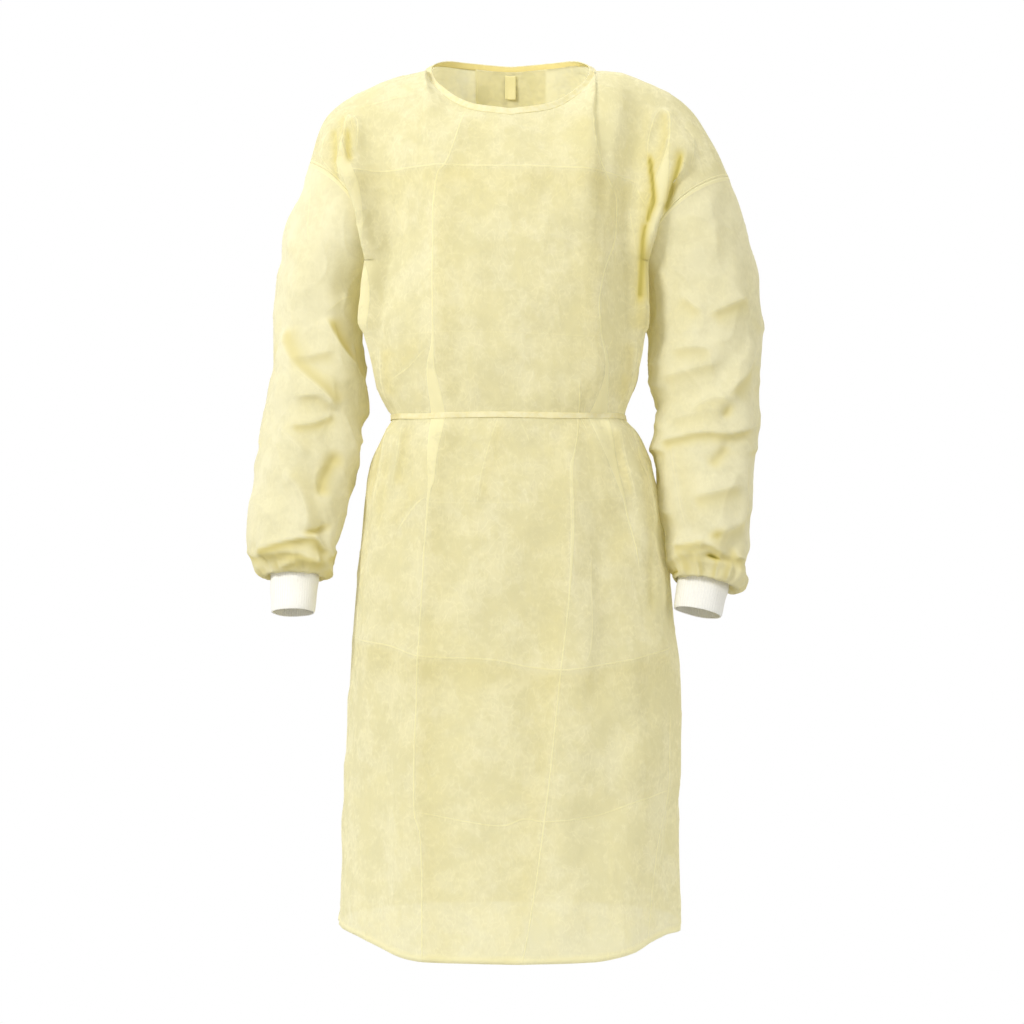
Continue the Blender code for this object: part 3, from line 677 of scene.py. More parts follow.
def body_relief(back, points, share, level):
    """All the small relief of the body at its points, with its three sets of creases."""
    z = points[..., 2]
    sets = (FRONT_ALONG, FRONT_ACROSS, FRONT_FOLDS)
    if back:
        sets = (BACK_ALONG, BACK_ACROSS, mirrored(FRONT_FOLDS))
    fields = [crease_field(lines, points[..., [0, 2]]) for lines in sets]
    off_seam = ease(1 - np.abs(share), 0.0, 0.05) * ease(level, 0.0, 0.06)
    off_belt = 1 - np.exp(-((z - BELT_HEIGHT) / 0.010) ** 2)
    hanging = swells(points, 0.085, 3, (1.0, 1.0, 0.33)) * 0.0026 * ease(-z, 0.40, 0.60)
    swell = swells(points, 0.060, 5, (1.0, 1.0, 0.75)) * 0.0016
    crumple = np.exp(-np.abs(swells(points, 0.050, 8, (1.0, 1.0, 0.6))) / 0.10) * 0.0010
    belt = np.exp(-np.abs(z - BELT_HEIGHT) / 0.024)
    belt = belt * swells(points * np.array((1, 1, 0)), 0.021, 11) * 0.0028
    calm = 0.35 + 0.65 * ease(np.abs(share), 0.10, 0.22) if back else 1.0
    creases = sum(field["lift"] for field in fields)
    relief = creases * off_belt + (hanging + swell + crumple + belt) * off_belt * calm
    return relief * off_seam, fields


print("a swell:", float(swells(np.zeros((1, 3)), 0.06, 5)[0]))

# %% [markdown]
# From numbers to cloth
#
# A sheet of cloth is a grid of points joined by four-sided faces. A Solidify modifier gives
# it its small thickness inwards, so that both faces and all edges are there. The distance
# maps become a UV map, and the pressed strength and the doubled seam edges are kept as
# numbers on the points.

# %% Make a sheet from a grid
CLOTH_THICKNESS = 0.0004


def grid_normals(points, closed):
    """The outward direction at each point of a grid, whose rows run down."""
    down = np.gradient(points, axis=0)
    if closed:
        across = np.roll(points, -1, axis=1) - np.roll(points, 1, axis=1)
    else:
        across = np.gradient(points, axis=1)
    return unit(np.cross(down, across))


def grid_piece(name, points, closed):
    """A smooth piece over a grid of points, and the point that each corner of its faces uses."""
    rows, columns = points.shape[:2]
    index = np.arange(rows * columns).reshape(rows, columns)
    if closed:
        index = np.concatenate((index, index[:, :1]), axis=1)
    faces = np.stack((index[:-1, :-1], index[1:, :-1], index[1:, 1:], index[:-1, 1:]), -1).reshape(-1, 4)
    mesh = bpy.data.meshes.new(name)
    mesh.from_pydata(points.reshape(-1, 3).tolist(), [], faces.tolist())
    mesh.shade_smooth()
    piece = bpy.data.objects.new(name, mesh)
    scene.collection.objects.link(piece)
    return piece, faces.reshape(-1)


def add_map(mesh, word, parts):
    """Keeps two numbers for each corner of the mesh as a map."""
    layer = mesh.uv_layers.new(name=word)
    layer.uv.foreach_set("vector", np.stack(parts, -1).astype(np.float32).reshape(-1))


def make_sheet(name, points, look, thickness, closed=False, maps=(), numbers=(), offset=-1.0):
    """A cloth sheet over a grid of points, which are its outside."""
    piece, corners = grid_piece(name, points, closed)
    for word, parts in dict(maps).items():
        add_map(piece.data, word, [np.asarray(part).reshape(-1)[corners] for part in parts])
    for word, values in dict(numbers).items():
        attribute = piece.data.attributes.new(word, "FLOAT", "POINT")
        attribute.data.foreach_set("value", np.asarray(values, np.float32).reshape(-1))
    piece.data.update()
    wall = piece.modifiers.new("thickness", "SOLIDIFY")
    wall.thickness = thickness
    wall.offset = offset
    piece.data.materials.append(MATERIALS[look])
    if look + "_inside" in MATERIALS:
        piece.data.materials.append(MATERIALS[look + "_inside"])
        wall.material_offset = 1
    return piece


def sheet_size(points, closed=False):
    """Greatest width and length of a grid of cloth along its threads, and its area."""
    ring = np.concatenate((points, points[:, :1]), axis=1) if closed else points
    across = np.linalg.norm(np.diff(ring, axis=1), axis=-1)
    down = np.linalg.norm(np.diff(ring, axis=0), axis=-1)
    corner = np.cross(np.diff(ring[:, :-1], axis=0), np.diff(ring[:-1], axis=1))
    area = np.linalg.norm(corner, axis=-1).sum()
    return float(across.sum(axis=1).max()), float(down.sum(axis=0).max()), float(area)


def with_edges(lowest, highest, count, edge):
    """Evenly spaced numbers with a few more close to either end, for a crisp seam edge."""
    steps = (0.5, 1.0, 1.12)
    extra = [lowest + edge * step for step in steps] + [highest - edge * step for step in steps]
    keep = [value for value in np.linspace(lowest, highest, count)[1:-1]
            if all(abs(value - other) > abs(edge) * 0.3 for other in extra)]
    return np.array(sorted([lowest, highest] + extra + keep))


print("cloth is", CLOTH_THICKNESS * 1000, "mm thick")

# %% [markdown]
# The nonwoven
#
# Spunbond cloth is a mat of endless fine fibres, pressed together in heat. It has no weave:
# held to the light it is cloudy, with denser and thinner patches a centimetre or two wide
# and fine curled fibres between them. Light goes through it in three ways: straight through
# the gaps, scattered through the fibres, and scattered back from them. So the material is a
# mix of those three, and the clouds and fibres decide how much of each there is. Where the
# cloth is pressed or doubled, at creases and seams, it is denser and brighter.

# %% Nonwoven material
THIN_TINT = (0.915, 0.880, 0.640, 1)
DENSE_TINT = (0.985, 0.952, 0.740, 1)
LINE_TINT = (0.985, 0.940, 0.640, 1)
# Painted shade: a deep yellow and a dark olive for tucks and troughs, where shade falls and several layers
# lie.
SHADE_TINT = (0.800, 0.700, 0.230, 1)
DARK_SHADE_TINT = (0.400, 0.345, 0.070, 1)
THROUGH_TINT = (1.0, 0.985, 0.88, 1)
GLOW_SHARE = 0.34
LINE_SOFTNESS = 0.0009
THIN_LINE = 0.0004
#           scale  turn
STRANDS = ((40.0, 0.3), (61.0, 1.9))


def pressed_line(tree, word, part, kind, width=None):
    """1 on a pressed line and 0 beside it, from the map of distances to it."""
    away = maths(tree, "ABSOLUTE", map_part(tree, word, part))
    if width is None:
        width = number(tree, "width_" + kind)
    outer = maths(tree, "ADD", width, LINE_SOFTNESS)
    drawn = between(tree, away, width, outer, 1.0, 0.0)
    return maths(tree, "MULTIPLY", drawn, number(tree, "press_" + kind))


def thin_cloth(tree, tint, cover, **bent):
    """Light sent back, light scattered through and light let straight through, in one."""
    body = shader(tree, "Diffuse", Color=tint, Roughness=0.6, **bent)
    glow = shader(tree, "Translucent", Color=tint, **bent)
    gaps = shader(tree, "Transparent", Color=THROUGH_TINT)
    put_out(tree, mixed(tree, cover, gaps, mixed(tree, GLOW_SHARE, body, glow)))


tree = start_material("nonwoven")
place = node(tree, "ShaderNodeTexCoord").outputs["Object"]
mottle = 0.0
for scale, turn in STRANDS:
    turned = node(tree, "ShaderNodeVectorRotate", {"Vector": place, "Angle": turn}).outputs[0]
    drawn = node(tree, "ShaderNodeVectorMath", {0: turned, 1: (1.0, 1.0, 0.62)}, operation="MULTIPLY")
    away = maths(tree, "PINGPONG", noise(tree, scale, 2.0, place=drawn.outputs[0]), 0.075)
    strand = maths(tree, "MULTIPLY", between(tree, away, 0.0, 0.026, 1.0, 0.0), 0.5)
    mottle = maths(tree, "ADD", mottle, strand)
clouds = noise(tree, 24.0, 3.0, 0.72)
mottle = maths(tree, "ADD", maths(tree, "MULTIPLY", between(tree, clouds, 0.36, 0.64), 1.9), mottle)
density = maths(tree, "ADD", maths(tree, "MULTIPLY", mottle, number(tree, "web")), number(tree, "patch"))
line = pressed_line(tree, "cloth_map", "Y", "across", THIN_LINE)
for word, kind in (("cloth_map", "along"), ("fold_map", "fold")):
    line = maths(tree, "MAXIMUM", line, pressed_line(tree, word, "X", kind))
line = maths(tree, "MULTIPLY", line, between(tree, clouds, 0.32, 0.55, 0.60, 1.0))
extra = maths(tree, "ADD", maths(tree, "MULTIPLY", line, 0.85), number(tree, "doubled"))
dense = maths(tree, "ADD", density, extra, clamp=True)
# Painted shade: where the creases tuck, the tint turns deep yellow and then dark olive, and the cloth hides
# more.
deep = number(tree, "deep")
tint = THIN_TINT
for share, layer in ((density, DENSE_TINT), (extra, LINE_TINT), (deep, SHADE_TINT),
                     (between(tree, deep, 0.75, 1.35), DARK_SHADE_TINT)):
    tint = blend(tree, share, tint, layer)
cover = between(tree, maths(tree, "ADD", dense, deep, clamp=True), 0.0, 1.0, 0.68, 0.97)
thin_cloth(tree, tint, cover, Normal=bumped(tree, line, 0.45, 0.0008))
print("nonwoven nodes:", len(tree.nodes))

# %% Inside face of the nonwoven
# The same cloth seen from inside. The outer face already carries the fibres and lines, which
# show through, so this face only needs its clouds.
tree = start_material("nonwoven_inside")
cloud = between(tree, noise(tree, 30.0, 2.0, 0.72), 0.36, 0.64)
tint = blend(tree, cloud, (0.900, 0.875, 0.670, 1), (0.965, 0.930, 0.700, 1))
thin_cloth(tree, tint, between(tree, cloud, 0.0, 1.0, 0.58, 0.78))
print("inside nodes:", len(tree.nodes))

# %% [markdown]
# The tape of the neck and the belt is the same cloth folded to several layers, so it hides
# more, and its yellow is deeper. A row of small weld points holds the folds. The cuff is a
# white cotton and polyester knit with fine ribs along the arm, made here by wales that
# follow the cuff's own map.

# %% Tape, knit and label materials
WELD_STEP = 0.0016
WALES = 96
COURSES = 62
tree = start_material("tape")
cloud = between(tree, noise(tree, 160.0, 4.0, 0.6), 0.30, 0.70)
step_along = maths(tree, "PINGPONG", map_part(tree, "cloth_map", "X"), WELD_STEP)
dot_along = maths(tree, "POWER", maths(tree, "SUBTRACT", step_along, WELD_STEP / 2), 2.0)
dot_across = maths(tree, "SUBTRACT", map_part(tree, "cloth_map", "Y"), WELD_STEP)
dot_across = maths(tree, "POWER", dot_across, 2.0)
to_dot = maths(tree, "SQRT", maths(tree, "ADD", dot_along, dot_across))
dot = between(tree, to_dot, 0.00025, 0.00050, 1.0, 0.0)
shade = maths(tree, "SUBTRACT", cloud, maths(tree, "MULTIPLY", dot, 0.25), clamp=True)
tint = blend(tree, shade, (0.930, 0.855, 0.480, 1), (0.980, 0.930, 0.620, 1))
bump = bumped(tree, shade, 0.4, 0.0004)
body = shader(tree, "Principled", Base_Color=tint, Normal=bump, Roughness=0.72, Specular_IOR_Level=0.25)
put_out(tree, mixed(tree, 0.25, body, shader(tree, "Translucent", Color=tint, Normal=bump)))

# Painted shade: the inside face of the tape is the same cloth, coloured a darker yellow than its outside.
tree = start_material("tape_inside")
put_out(tree, shader(tree, "Diffuse", Color=(0.860, 0.750, 0.340, 1), Roughness=0.6))

tree = start_material("knit")
around, down = (map_part(tree, "cloth_map", part) for part in "XY")
wale = maths(tree, "SINE", maths(tree, "MULTIPLY", around, 2 * math.pi * WALES))
course = maths(tree, "SINE", maths(tree, "MULTIPLY", down, 2 * math.pi * COURSES))
loops = maths(tree, "ADD", maths(tree, "MULTIPLY", wale, 0.5), maths(tree, "MULTIPLY", course, 0.18))
fuzz = maths(tree, "MULTIPLY", noise(tree, 420.0, 3.0), 0.8)
shade = maths(tree, "ADD", maths(tree, "MULTIPLY", loops, 0.5), fuzz)
tint = blend(tree, between(tree, shade, -0.2, 0.9), (0.820, 0.800, 0.720, 1), (0.890, 0.875, 0.810, 1))
put_out(tree, shader(tree, "Principled", Base_Color=tint, Normal=bumped(tree, shade, 0.2, 0.0004),
                     Roughness=0.9, Specular_IOR_Level=0.15, Sheen_Weight=0.25, Sheen_Roughness=0.4))

tree = start_material("label")
grain = noise(tree, 500.0, 3.0)
tint = blend(tree, grain, (0.860, 0.770, 0.380, 1), (0.930, 0.860, 0.500, 1))
bump = bumped(tree, grain, 0.3, 0.0003)
put_out(tree, shader(tree, "Principled", Base_Color=tint, Normal=bump, Roughness=0.6))
print("materials:", sorted(MATERIALS))

# %% [markdown]
# The front
#
# One panel from the neck to the hem. Its grid is finest of all, because it is seen most.
# The rows and columns next to its seams lie close together, so that the doubled seam edge
# is a crisp narrow band, a little raised, as a welded seam is.

# %% Front panel
SEAM_SHARE = 0.010
SEAM_LEVEL = 0.012
HEM_LEVEL = 0.006
SEAM_RISE = 0.0002
FRONT_COLUMNS, BACK_COLUMNS, BODY_ROWS = 168, 96, 250


def seam_band(share, level, ends):
    """1 on the doubled edges of a panel: sides, shoulders and hem."""
    band = np.zeros_like(share)
    for end in ends:
        band = np.maximum(band, np.abs(share - end) <= SEAM_SHARE * 1.02)
    shoulder = (level <= SEAM_LEVEL * 1.02) & (np.abs(share) >= NECK_SHARE)
    return np.maximum(np.maximum(band, shoulder), level >= 2 - HEM_LEVEL * 1.02).astype(float)


def cloth_numbers(fields, doubled, points, web, dense):
    """Maps and numbers that the nonwoven material reads from the mesh."""
    along, across, fold = fields
    maps = {"cloth_map": (along["signed"], across["signed"]), "fold_map": (fold["signed"],) * 2}
    # Painted shade of the creases, which also stands for the deeper yellow of layered cloth.
    deep = np.clip(along["deep"] + across["deep"] + fold["deep"], 0, 1.6)
    numbers = {"press_along": along["press"], "width_along": along["width"],
               "press_across": across["press"], "press_fold": fold["press"],
               "width_fold": fold["width"], "deep": deep * 0.85, "doubled": doubled * 0.70,
               "patch": dense + swells(points, 0.090, 17, (1, 1, 0.6)) * 0.09,
               "web": np.full(points.shape[:2], web)}
    return maps, numbers


def make_panel(name, back, shares, levels, ends, sunk=None):
    """One body panel in fine cloth, with its relief and its maps."""
    share, level = np.meshgrid(shares, levels)
    plain = body_point(back, share, level)
    relief, fields = body_relief(back, plain, share, level)
    doubled = seam_band(share, level, ends)
    at_rim = (np.abs(np.abs(share) - 1) < 1e-6) | (level < 1e-6)
    lift = relief + doubled * SEAM_RISE * ~at_rim
    if sunk is not None:
        lift = lift - sunk(share)
    points = plain + grid_normals(plain, False) * lift[..., None]
    maps, numbers = cloth_numbers(fields, doubled, plain, 0.24, 0.0)
    piece = make_sheet(name, points, "nonwoven", CLOTH_THICKNESS, False, maps, numbers)
    return piece, sheet_size(points)


body_levels = with_edges(0, 2, BODY_ROWS, SEAM_LEVEL)
front_shares = with_edges(-1, 1, FRONT_COLUMNS, SEAM_SHARE)
cloth_front, front_size = make_panel("cloth_front", False, front_shares, body_levels, (-1, 1))
print("front:", cloth_front.name, "width, length, area", front_size)

# %% [markdown]
# The backs
#
# The gown is put on from the front and closes behind. The wearer's right back lies outside,
# the left one under it. Both follow one surface, and the left one is sunk two millimetres
# where they overlap.

# %% Two backs
def underlap(share):
    """How deep the left back lies under the right one."""
    return UNDERLAP_DEPTH * (1 - ease(share, BACK_OVERLAP, BACK_OVERLAP + 0.22))


right_shares = with_edges(-1, BACK_OVERLAP, BACK_COLUMNS, SEAM_SHARE)[::-1]
left_shares = with_edges(-BACK_OVERLAP, 1, BACK_COLUMNS, SEAM_SHARE)[::-1]
cloth_back_right, back_right_size = make_panel(
    "cloth_back_right", True, right_shares, body_levels, (-1, BACK_OVERLAP))
cloth_back_left, back_left_size = make_panel(
    "cloth_back_left", True, left_shares, body_levels, (-BACK_OVERLAP, 1), underlap)
print("backs: width, length, area", back_right_size, back_left_size)

# %% [markdown]
# The sleeves
#
# Each sleeve is one wide tube. It is sewn to a dropped armhole, hangs with a bend at the
# elbow, and its end is gathered into a cuff that is much narrower, so it puffs out over it.
# The measured rows give the outline from the front. The gathers are uneven sums of waves,
# never one even wave, and the wrinkles of elbow and wrist are laid one by one.

# %% Sleeve measures
#    height   outer   inner   middle  half depth
SLEEVE_RIGHT = (
    (-0.310, 0.2990, 0.1915, 0.0040, 0.0680),
    (-0.340, 0.3002, 0.1912, 0.0030, 0.0660),
    (-0.370, 0.2998, 0.1885, 0.0000, 0.0640),
    (-0.392, 0.3000, 0.1848, -0.0030, 0.0620),
    (-0.405, 0.3040, 0.1812, -0.0040, 0.0630),
    (-0.424, 0.3088, 0.1867, -0.0060, 0.0640),
    (-0.450, 0.3138, 0.1905, -0.0090, 0.0620),
    (-0.480, 0.3160, 0.1890, -0.0150, 0.0600),
    (-0.520, 0.3225, 0.1950, -0.0230, 0.0580),
    (-0.556, 0.3276, 0.2041, -0.0315, 0.0560),
    (-0.590, 0.3288, 0.2150, -0.0410, 0.0540),
    (-0.612, 0.3275, 0.2200, -0.0470, 0.0500),
    (-0.626, 0.3218, 0.2232, -0.0510, 0.0440),
    (-0.638, 0.3140, 0.2271, -0.0537, 0.0370),
    (-0.646, 0.3070, 0.2320, -0.0560, 0.0310))
SLEEVE_LEFT = (
    (-0.310, 0.3175, 0.1757, 0.0040, 0.0690),
    (-0.349, 0.3194, 0.1757, 0.0040, 0.0670),
    (-0.377, 0.3170, 0.1755, 0.0010, 0.0640),
    (-0.405, 0.3160, 0.1775, -0.0020, 0.0620),
    (-0.430, 0.3151, 0.1905, -0.0050, 0.0620),
    (-0.452, 0.3140, 0.1843, -0.0080, 0.0630),
    (-0.482, 0.3089, 0.1808, -0.0140, 0.0610),
    (-0.515, 0.3066, 0.1835, -0.0210, 0.0590),
    (-0.545, 0.3048, 0.1885, -0.0280, 0.0570),
    (-0.578, 0.3014, 0.1925, -0.0370, 0.0550),
    (-0.605, 0.2986, 0.1965, -0.0450, 0.0510),
    (-0.622, 0.2900, 0.1960, -0.0500, 0.0450),
    (-0.636, 0.2945, 0.1985, -0.0530, 0.0410),
    (-0.649, 0.2915, 0.2035, -0.0575, 0.0370),
    (-0.655, 0.2840, 0.2045, -0.0590, 0.0340))
SLEEVE_REACH = 0.36
SLEEVE_START_OUTER = (0.32, 0.0, -0.95)
SLEEVE_START_INNER = (0.66, 0.0, -0.75)
FOREARM_TOP = -0.350
FOREARM_BELOW = -0.450
FOREARM_LEAN = -0.27
GATHER_TOP = -0.545
GATHER_FULL = -0.620
#                 outward  height   middle   half width  half depth
CUFF_RIGHT_TOP = (0.2689, -0.6380, -0.0550, 0.0309, 0.0250)
CUFF_RIGHT_BOTTOM = (0.2704, -0.6890, -0.0690, 0.0268, 0.0225)
CUFF_LEFT_TOP = (0.2417, -0.6440, -0.0560, 0.0320, 0.0250)
CUFF_LEFT_BOTTOM = (0.2328, -0.6890, -0.0690, 0.0291, 0.0225)
CUFF_LEFT_SLOPE = -0.20
print("sleeve rows:", len(SLEEVE_RIGHT), len(SLEEVE_LEFT))

# %% Sleeve surface
def sleeve_ring(side, height, turn):
    """Rings of the sleeve tube at heights, for turns round it."""
    table = SLEEVE_LEFT if side == LEFT else SLEEVE_RIGHT
    outer, inner, middle, half_depth = np.moveaxis(from_table(table, height), -1, 0)
    lean = FOREARM_LEAN * ease(-height, -FOREARM_TOP, -FOREARM_BELOW)
    slope = (CUFF_LEFT_SLOPE if side == LEFT else 0.0) * ease(-height, -GATHER_TOP, -GATHER_FULL)
    angle = np.radians(turn)
    x = (outer - inner) / 2 * np.cos(angle)
    y = -half_depth * np.sin(angle)
    return np.stack((side * ((outer + inner) / 2 + x), middle + y, height + slope * x + lean * y), -1)


def cuff_ring(side, share, turn):
    """Rings of a cuff, from 0 at its top rim to 1 at its bottom rim."""
    top = np.array(CUFF_LEFT_TOP if side == LEFT else CUFF_RIGHT_TOP)
    bottom = np.array(CUFF_LEFT_BOTTOM if side == LEFT else CUFF_RIGHT_BOTTOM)
    sizes = top + (bottom - top) * share[..., None]
    out, height, middle, half_width, half_depth = np.moveaxis(sizes, -1, 0)
    slope = CUFF_LEFT_SLOPE if side == LEFT else 0.0
    x = half_width * np.cos(np.radians(turn))
    y = -half_depth * np.sin(np.radians(turn))
    return np.stack((side * (out + x), middle + y, height + slope * x + FOREARM_LEAN * y), -1)


def sleeve_grid(side, turns, upper_rows, lower_rows):
    """Points of a sleeve from its seam down to the rim of the cuff."""
    table = SLEEVE_LEFT if side == LEFT else SLEEVE_RIGHT
    seam = armhole_point(side, turns % 360)
    end = sleeve_ring(side, np.full(len(turns), table[0][0]), turns)
    inside = ((1 - np.cos(np.radians(turns))) / 2)[:, None]
    start = np.array(SLEEVE_START_OUTER) * (1 - inside) + np.array(SLEEVE_START_INNER) * inside
    start = start * (side, 1, 1)
    reach = SLEEVE_REACH * np.linalg.norm(end - seam, axis=-1, keepdims=True)
    blends = np.concatenate(([0.0, 0.008, 0.018, 0.020], np.linspace(0.03, 0.98, upper_rows)))
    blends = blends[:, None, None]
    upper = bezier(seam, seam + start * reach, end + reach * np.array((0, 0, 1)), end, blends)
    heights = np.linspace(table[0][0], table[-1][0], lower_rows)
    height, turn = np.meshgrid(heights, turns, indexing="ij")
    lower = sleeve_ring(side, height, turn)
    rim = cuff_ring(side, np.zeros(len(turns)), turns) + np.array((0, 0, 0.0003))
    close = np.array((0.35, 0.7, 1.0))[:, None, None]
    return np.concatenate((upper, lower, lower[-1] * (1 - close) + rim * close))


print("sleeve top:", sleeve_grid(LEFT, np.array([0.0, 90.0]), 4, 4)[0].round(3).tolist())

# %% Wrinkles of the sleeves
# In millimetres, with the same columns as the creases of the front, as seen from there. The
# far side of each sleeve takes the wrinkles of the other one as seen in a mirror.
#    rise left right press shade shade points
RIGHT_WRINKLES = (
    (6.0, 5, 16, 0.30, 0.9, 0, ((-232, -320), (-220, -347), (-208, -367), (-193, -382), (-182, -402))),
    (3.0, 8, 10, 0.25, 0, 0, ((-232, -317), (-220, -305), (-207, -295), (-194, -292))),
    (5.5, 6, 15, 0.22, 0.55, 0, ((-288, -331), (-281, -353), (-261, -389), (-232, -416), (-217, -437))),
    (4.5, 12, 4, 0.20, 0, 0.55, ((-277, -463), (-267, -456), (-247, -453), (-229, -446), (-217, -438))),
    (4.0, 11, 6, 0.12, 0, 0.35, ((-275, -371), (-255, -370), (-237, -365), (-217, -362))),
    (4.0, 8, 9, 0.15, 0.15, 0, ((-290, -455), (-272, -473), (-259, -486), (-255, -500))),
    (3.5, 9, 5, 0.12, 0, 0.3, ((-270, -419), (-242, -418), (-229, -425), (-219, -438))),
    (-5.5, 10, 10, 0, 0.7, 0.7, ((-204, -490), (-220, -502), (-229, -522), (-232, -550))),
    (4.0, 8, 12, 0.12, 0.2, 0, ((-281, -512), (-262, -536), (-251, -566), (-255, -588))),
    (-6.0, 4, 4, 0, 0.9, 0.9, ((-260, -591), (-243, -588), (-231, -586), (-212, -576))),
    (6.5, 6, 4, 0.22, 0, 0.8, ((-320, -612), (-285, -600), (-252, -594), (-240, -597), (-232, -607),
     (-210, -618))),
    (7.0, 6, 5, 0.22, 0, 0.65, ((-335, -624), (-311, -615), (-287, -611), (-268, -611), (-252, -616),
     (-234, -623), (-208, -631))),
    (5.5, 4, 4, 0.20, 0, 0.6, ((-290, -635), (-268, -623), (-252, -622), (-236, -627), (-215, -640))),
    (-4.0, 3, 3, 0, 1.0, 1.0, ((-252, -634), (-243, -630), (-232, -626))),
    (3.0, 3, 3, 0.10, 0.2, 0.5, ((-292, -604), (-286, -622), (-281, -642))),
    (3.0, 2, 3, 0.10, 0.2, 0.5, ((-268, -606), (-266, -622), (-263, -643))),
    (3.0, 3, 2, 0.10, 0.5, 0.2, ((-238, -604), (-243, -622), (-246, -642))),
    (3.0, 2, 3, 0.10, 0.5, 0.2, ((-218, -600), (-226, -620), (-233, -640))),
    (2.0, 10, 10, 0.30, 0, 0, ((-251, -140), (-252, -188), (-250, -228))))
LEFT_WRINKLES = (
    (3.5, 10, 6, 0.18, 0, 0.3, ((212, -290), (230, -306), (244, -317))),
    (4.5, 14, 6, 0.20, 0, 0.45, ((244, -317), (266, -307), (300, -291))),
    (6.5, 6, 16, 0.22, 0.5, 0, ((318, -351), (301, -376), (288, -395), (276, -409), (268, -422))),
    (-4.5, 6, 6, 0, 0.6, 0.6, ((275, -424), (271, -438), (259, -448))),
    (6.5, 13, 4, 0.22, 0, 0.6, ((182, -477), (206, -471), (231, -465), (250, -464), (273, -466),
     (314, -453))),
    (6.5, 6, 14, 0.22, 0.4, 0, ((288, -466), (296, -485), (295, -503), (290, -525), (290, -551),
     (285, -576), (263, -587), (239, -599))),
    (-5.0, 8, 8, 0, 0.5, 0.5, ((276, -477), (263, -490), (254, -500), (242, -511))),
    (3.5, 10, 6, 0.12, 0, 0.25, ((186, -394), (214, -388), (244, -380), (262, -379))),
    (3.5, 9, 6, 0.12, 0, 0.3, ((198, -361), (231, -357), (255, -362))),
    (4.0, 9, 6, 0.15, 0, 0.25, ((221, -437), (249, -422), (265, -422), (277, -427))),
    (3.5, 9, 6, 0.12, 0, 0.2, ((196, -449), (233, -438), (250, -435), (270, -438))),
    (4.5, 6, 12, 0.15, 0.4, 0, ((286, -528), (250, -540), (220, -546))),
    (2.5, 6, 10, 0.25, 0.15, 0, ((200, -474), (207, -525), (216, -586))),
    (6.0, 5, 4, 0.20, 0, 0.6, ((176, -606), (196, -604), (223, -601), (243, -595))),
    (7.0, 5, 4, 0.22, 0, 0.55, ((207, -613), (236, -603), (248, -604), (269, -617), (303, -628))),
    (-6.0, 3, 3, 0, 1.4, 1.4, ((234, -615), (250, -619), (267, -624))),
    (-5.0, 6, 5, 0, 0.9, 0.9, ((242, -598), (257, -592), (268, -596))),
    (5.0, 4, 5, 0.18, 0, 0.4, ((182, -629), (207, -617), (231, -614), (250, -612))),
    (3.0, 3, 3, 0.10, 0.5, 0.2, ((204, -606), (213, -626), (218, -648))),
    (3.0, 2, 3, 0.10, 0.5, 0.2, ((228, -604), (231, -626), (234, -652))),
    (3.0, 3, 2, 0.10, 0.2, 0.5, ((262, -606), (256, -628), (251, -655))),
    (3.0, 2, 3, 0.10, 0.2, 0.5, ((282, -606), (273, -628), (266, -656))),
    (4.5, 5, 5, 0.18, 0.3, 0, ((219, -623), (249, -626), (271, -632), (294, -648))))


def both_sides(front, behind, facing):
    """Two sets of creases joined into one, where facing is 1 in front and 0 behind."""
    joined = {word: front[word] * facing + behind[word] * (1 - facing)
              for word in ("lift", "deep", "width")}
    joined["signed"] = np.where(facing > 0.5, front["signed"], behind["signed"])
    press = np.where(facing > 0.5, front["press"], behind["press"])
    joined["press"] = press * ease(np.abs(facing - 0.5), 0.15, 0.45)
    return joined


print("wrinkles:", len(RIGHT_WRINKLES), len(LEFT_WRINKLES))

# %% Two sleeves
SLEEVE_COLUMNS = 168
UPPER_ROWS, LOWER_ROWS = 52, 124
SLEEVE_MIDDLE = 0.255
SIDE_STEP = 0.020
GATHER_HEIGHT = 0.0036
PUCKER_HEIGHT = 0.0013


def gathers(side, points, turns):
    """Puckers that gather the sleeve into its cuff, uneven in width and length."""
    angle = np.radians(turns)[None, :] + 0.25 * side
    z = points[..., 2]
    below = ease(-z, -GATHER_TOP, -GATHER_FULL)
    long_ones = 0.55 * np.cos(7 * angle + 0.8) + 0.35 * np.cos(11 * angle + 2.1 * side)
    short_ones = 0.5 * np.cos(17 * angle + 0.4 * side) + 0.35 * np.cos(23 * angle + 1.9)
    short_ones = short_ones + 0.25 * np.cos(29 * angle)
    nearest = ease(-z, 0.605, 0.640)
    long_ones = GATHER_HEIGHT * below * long_ones * (1 - 0.3 * nearest)
    return long_ones + PUCKER_HEIGHT * nearest * short_ones


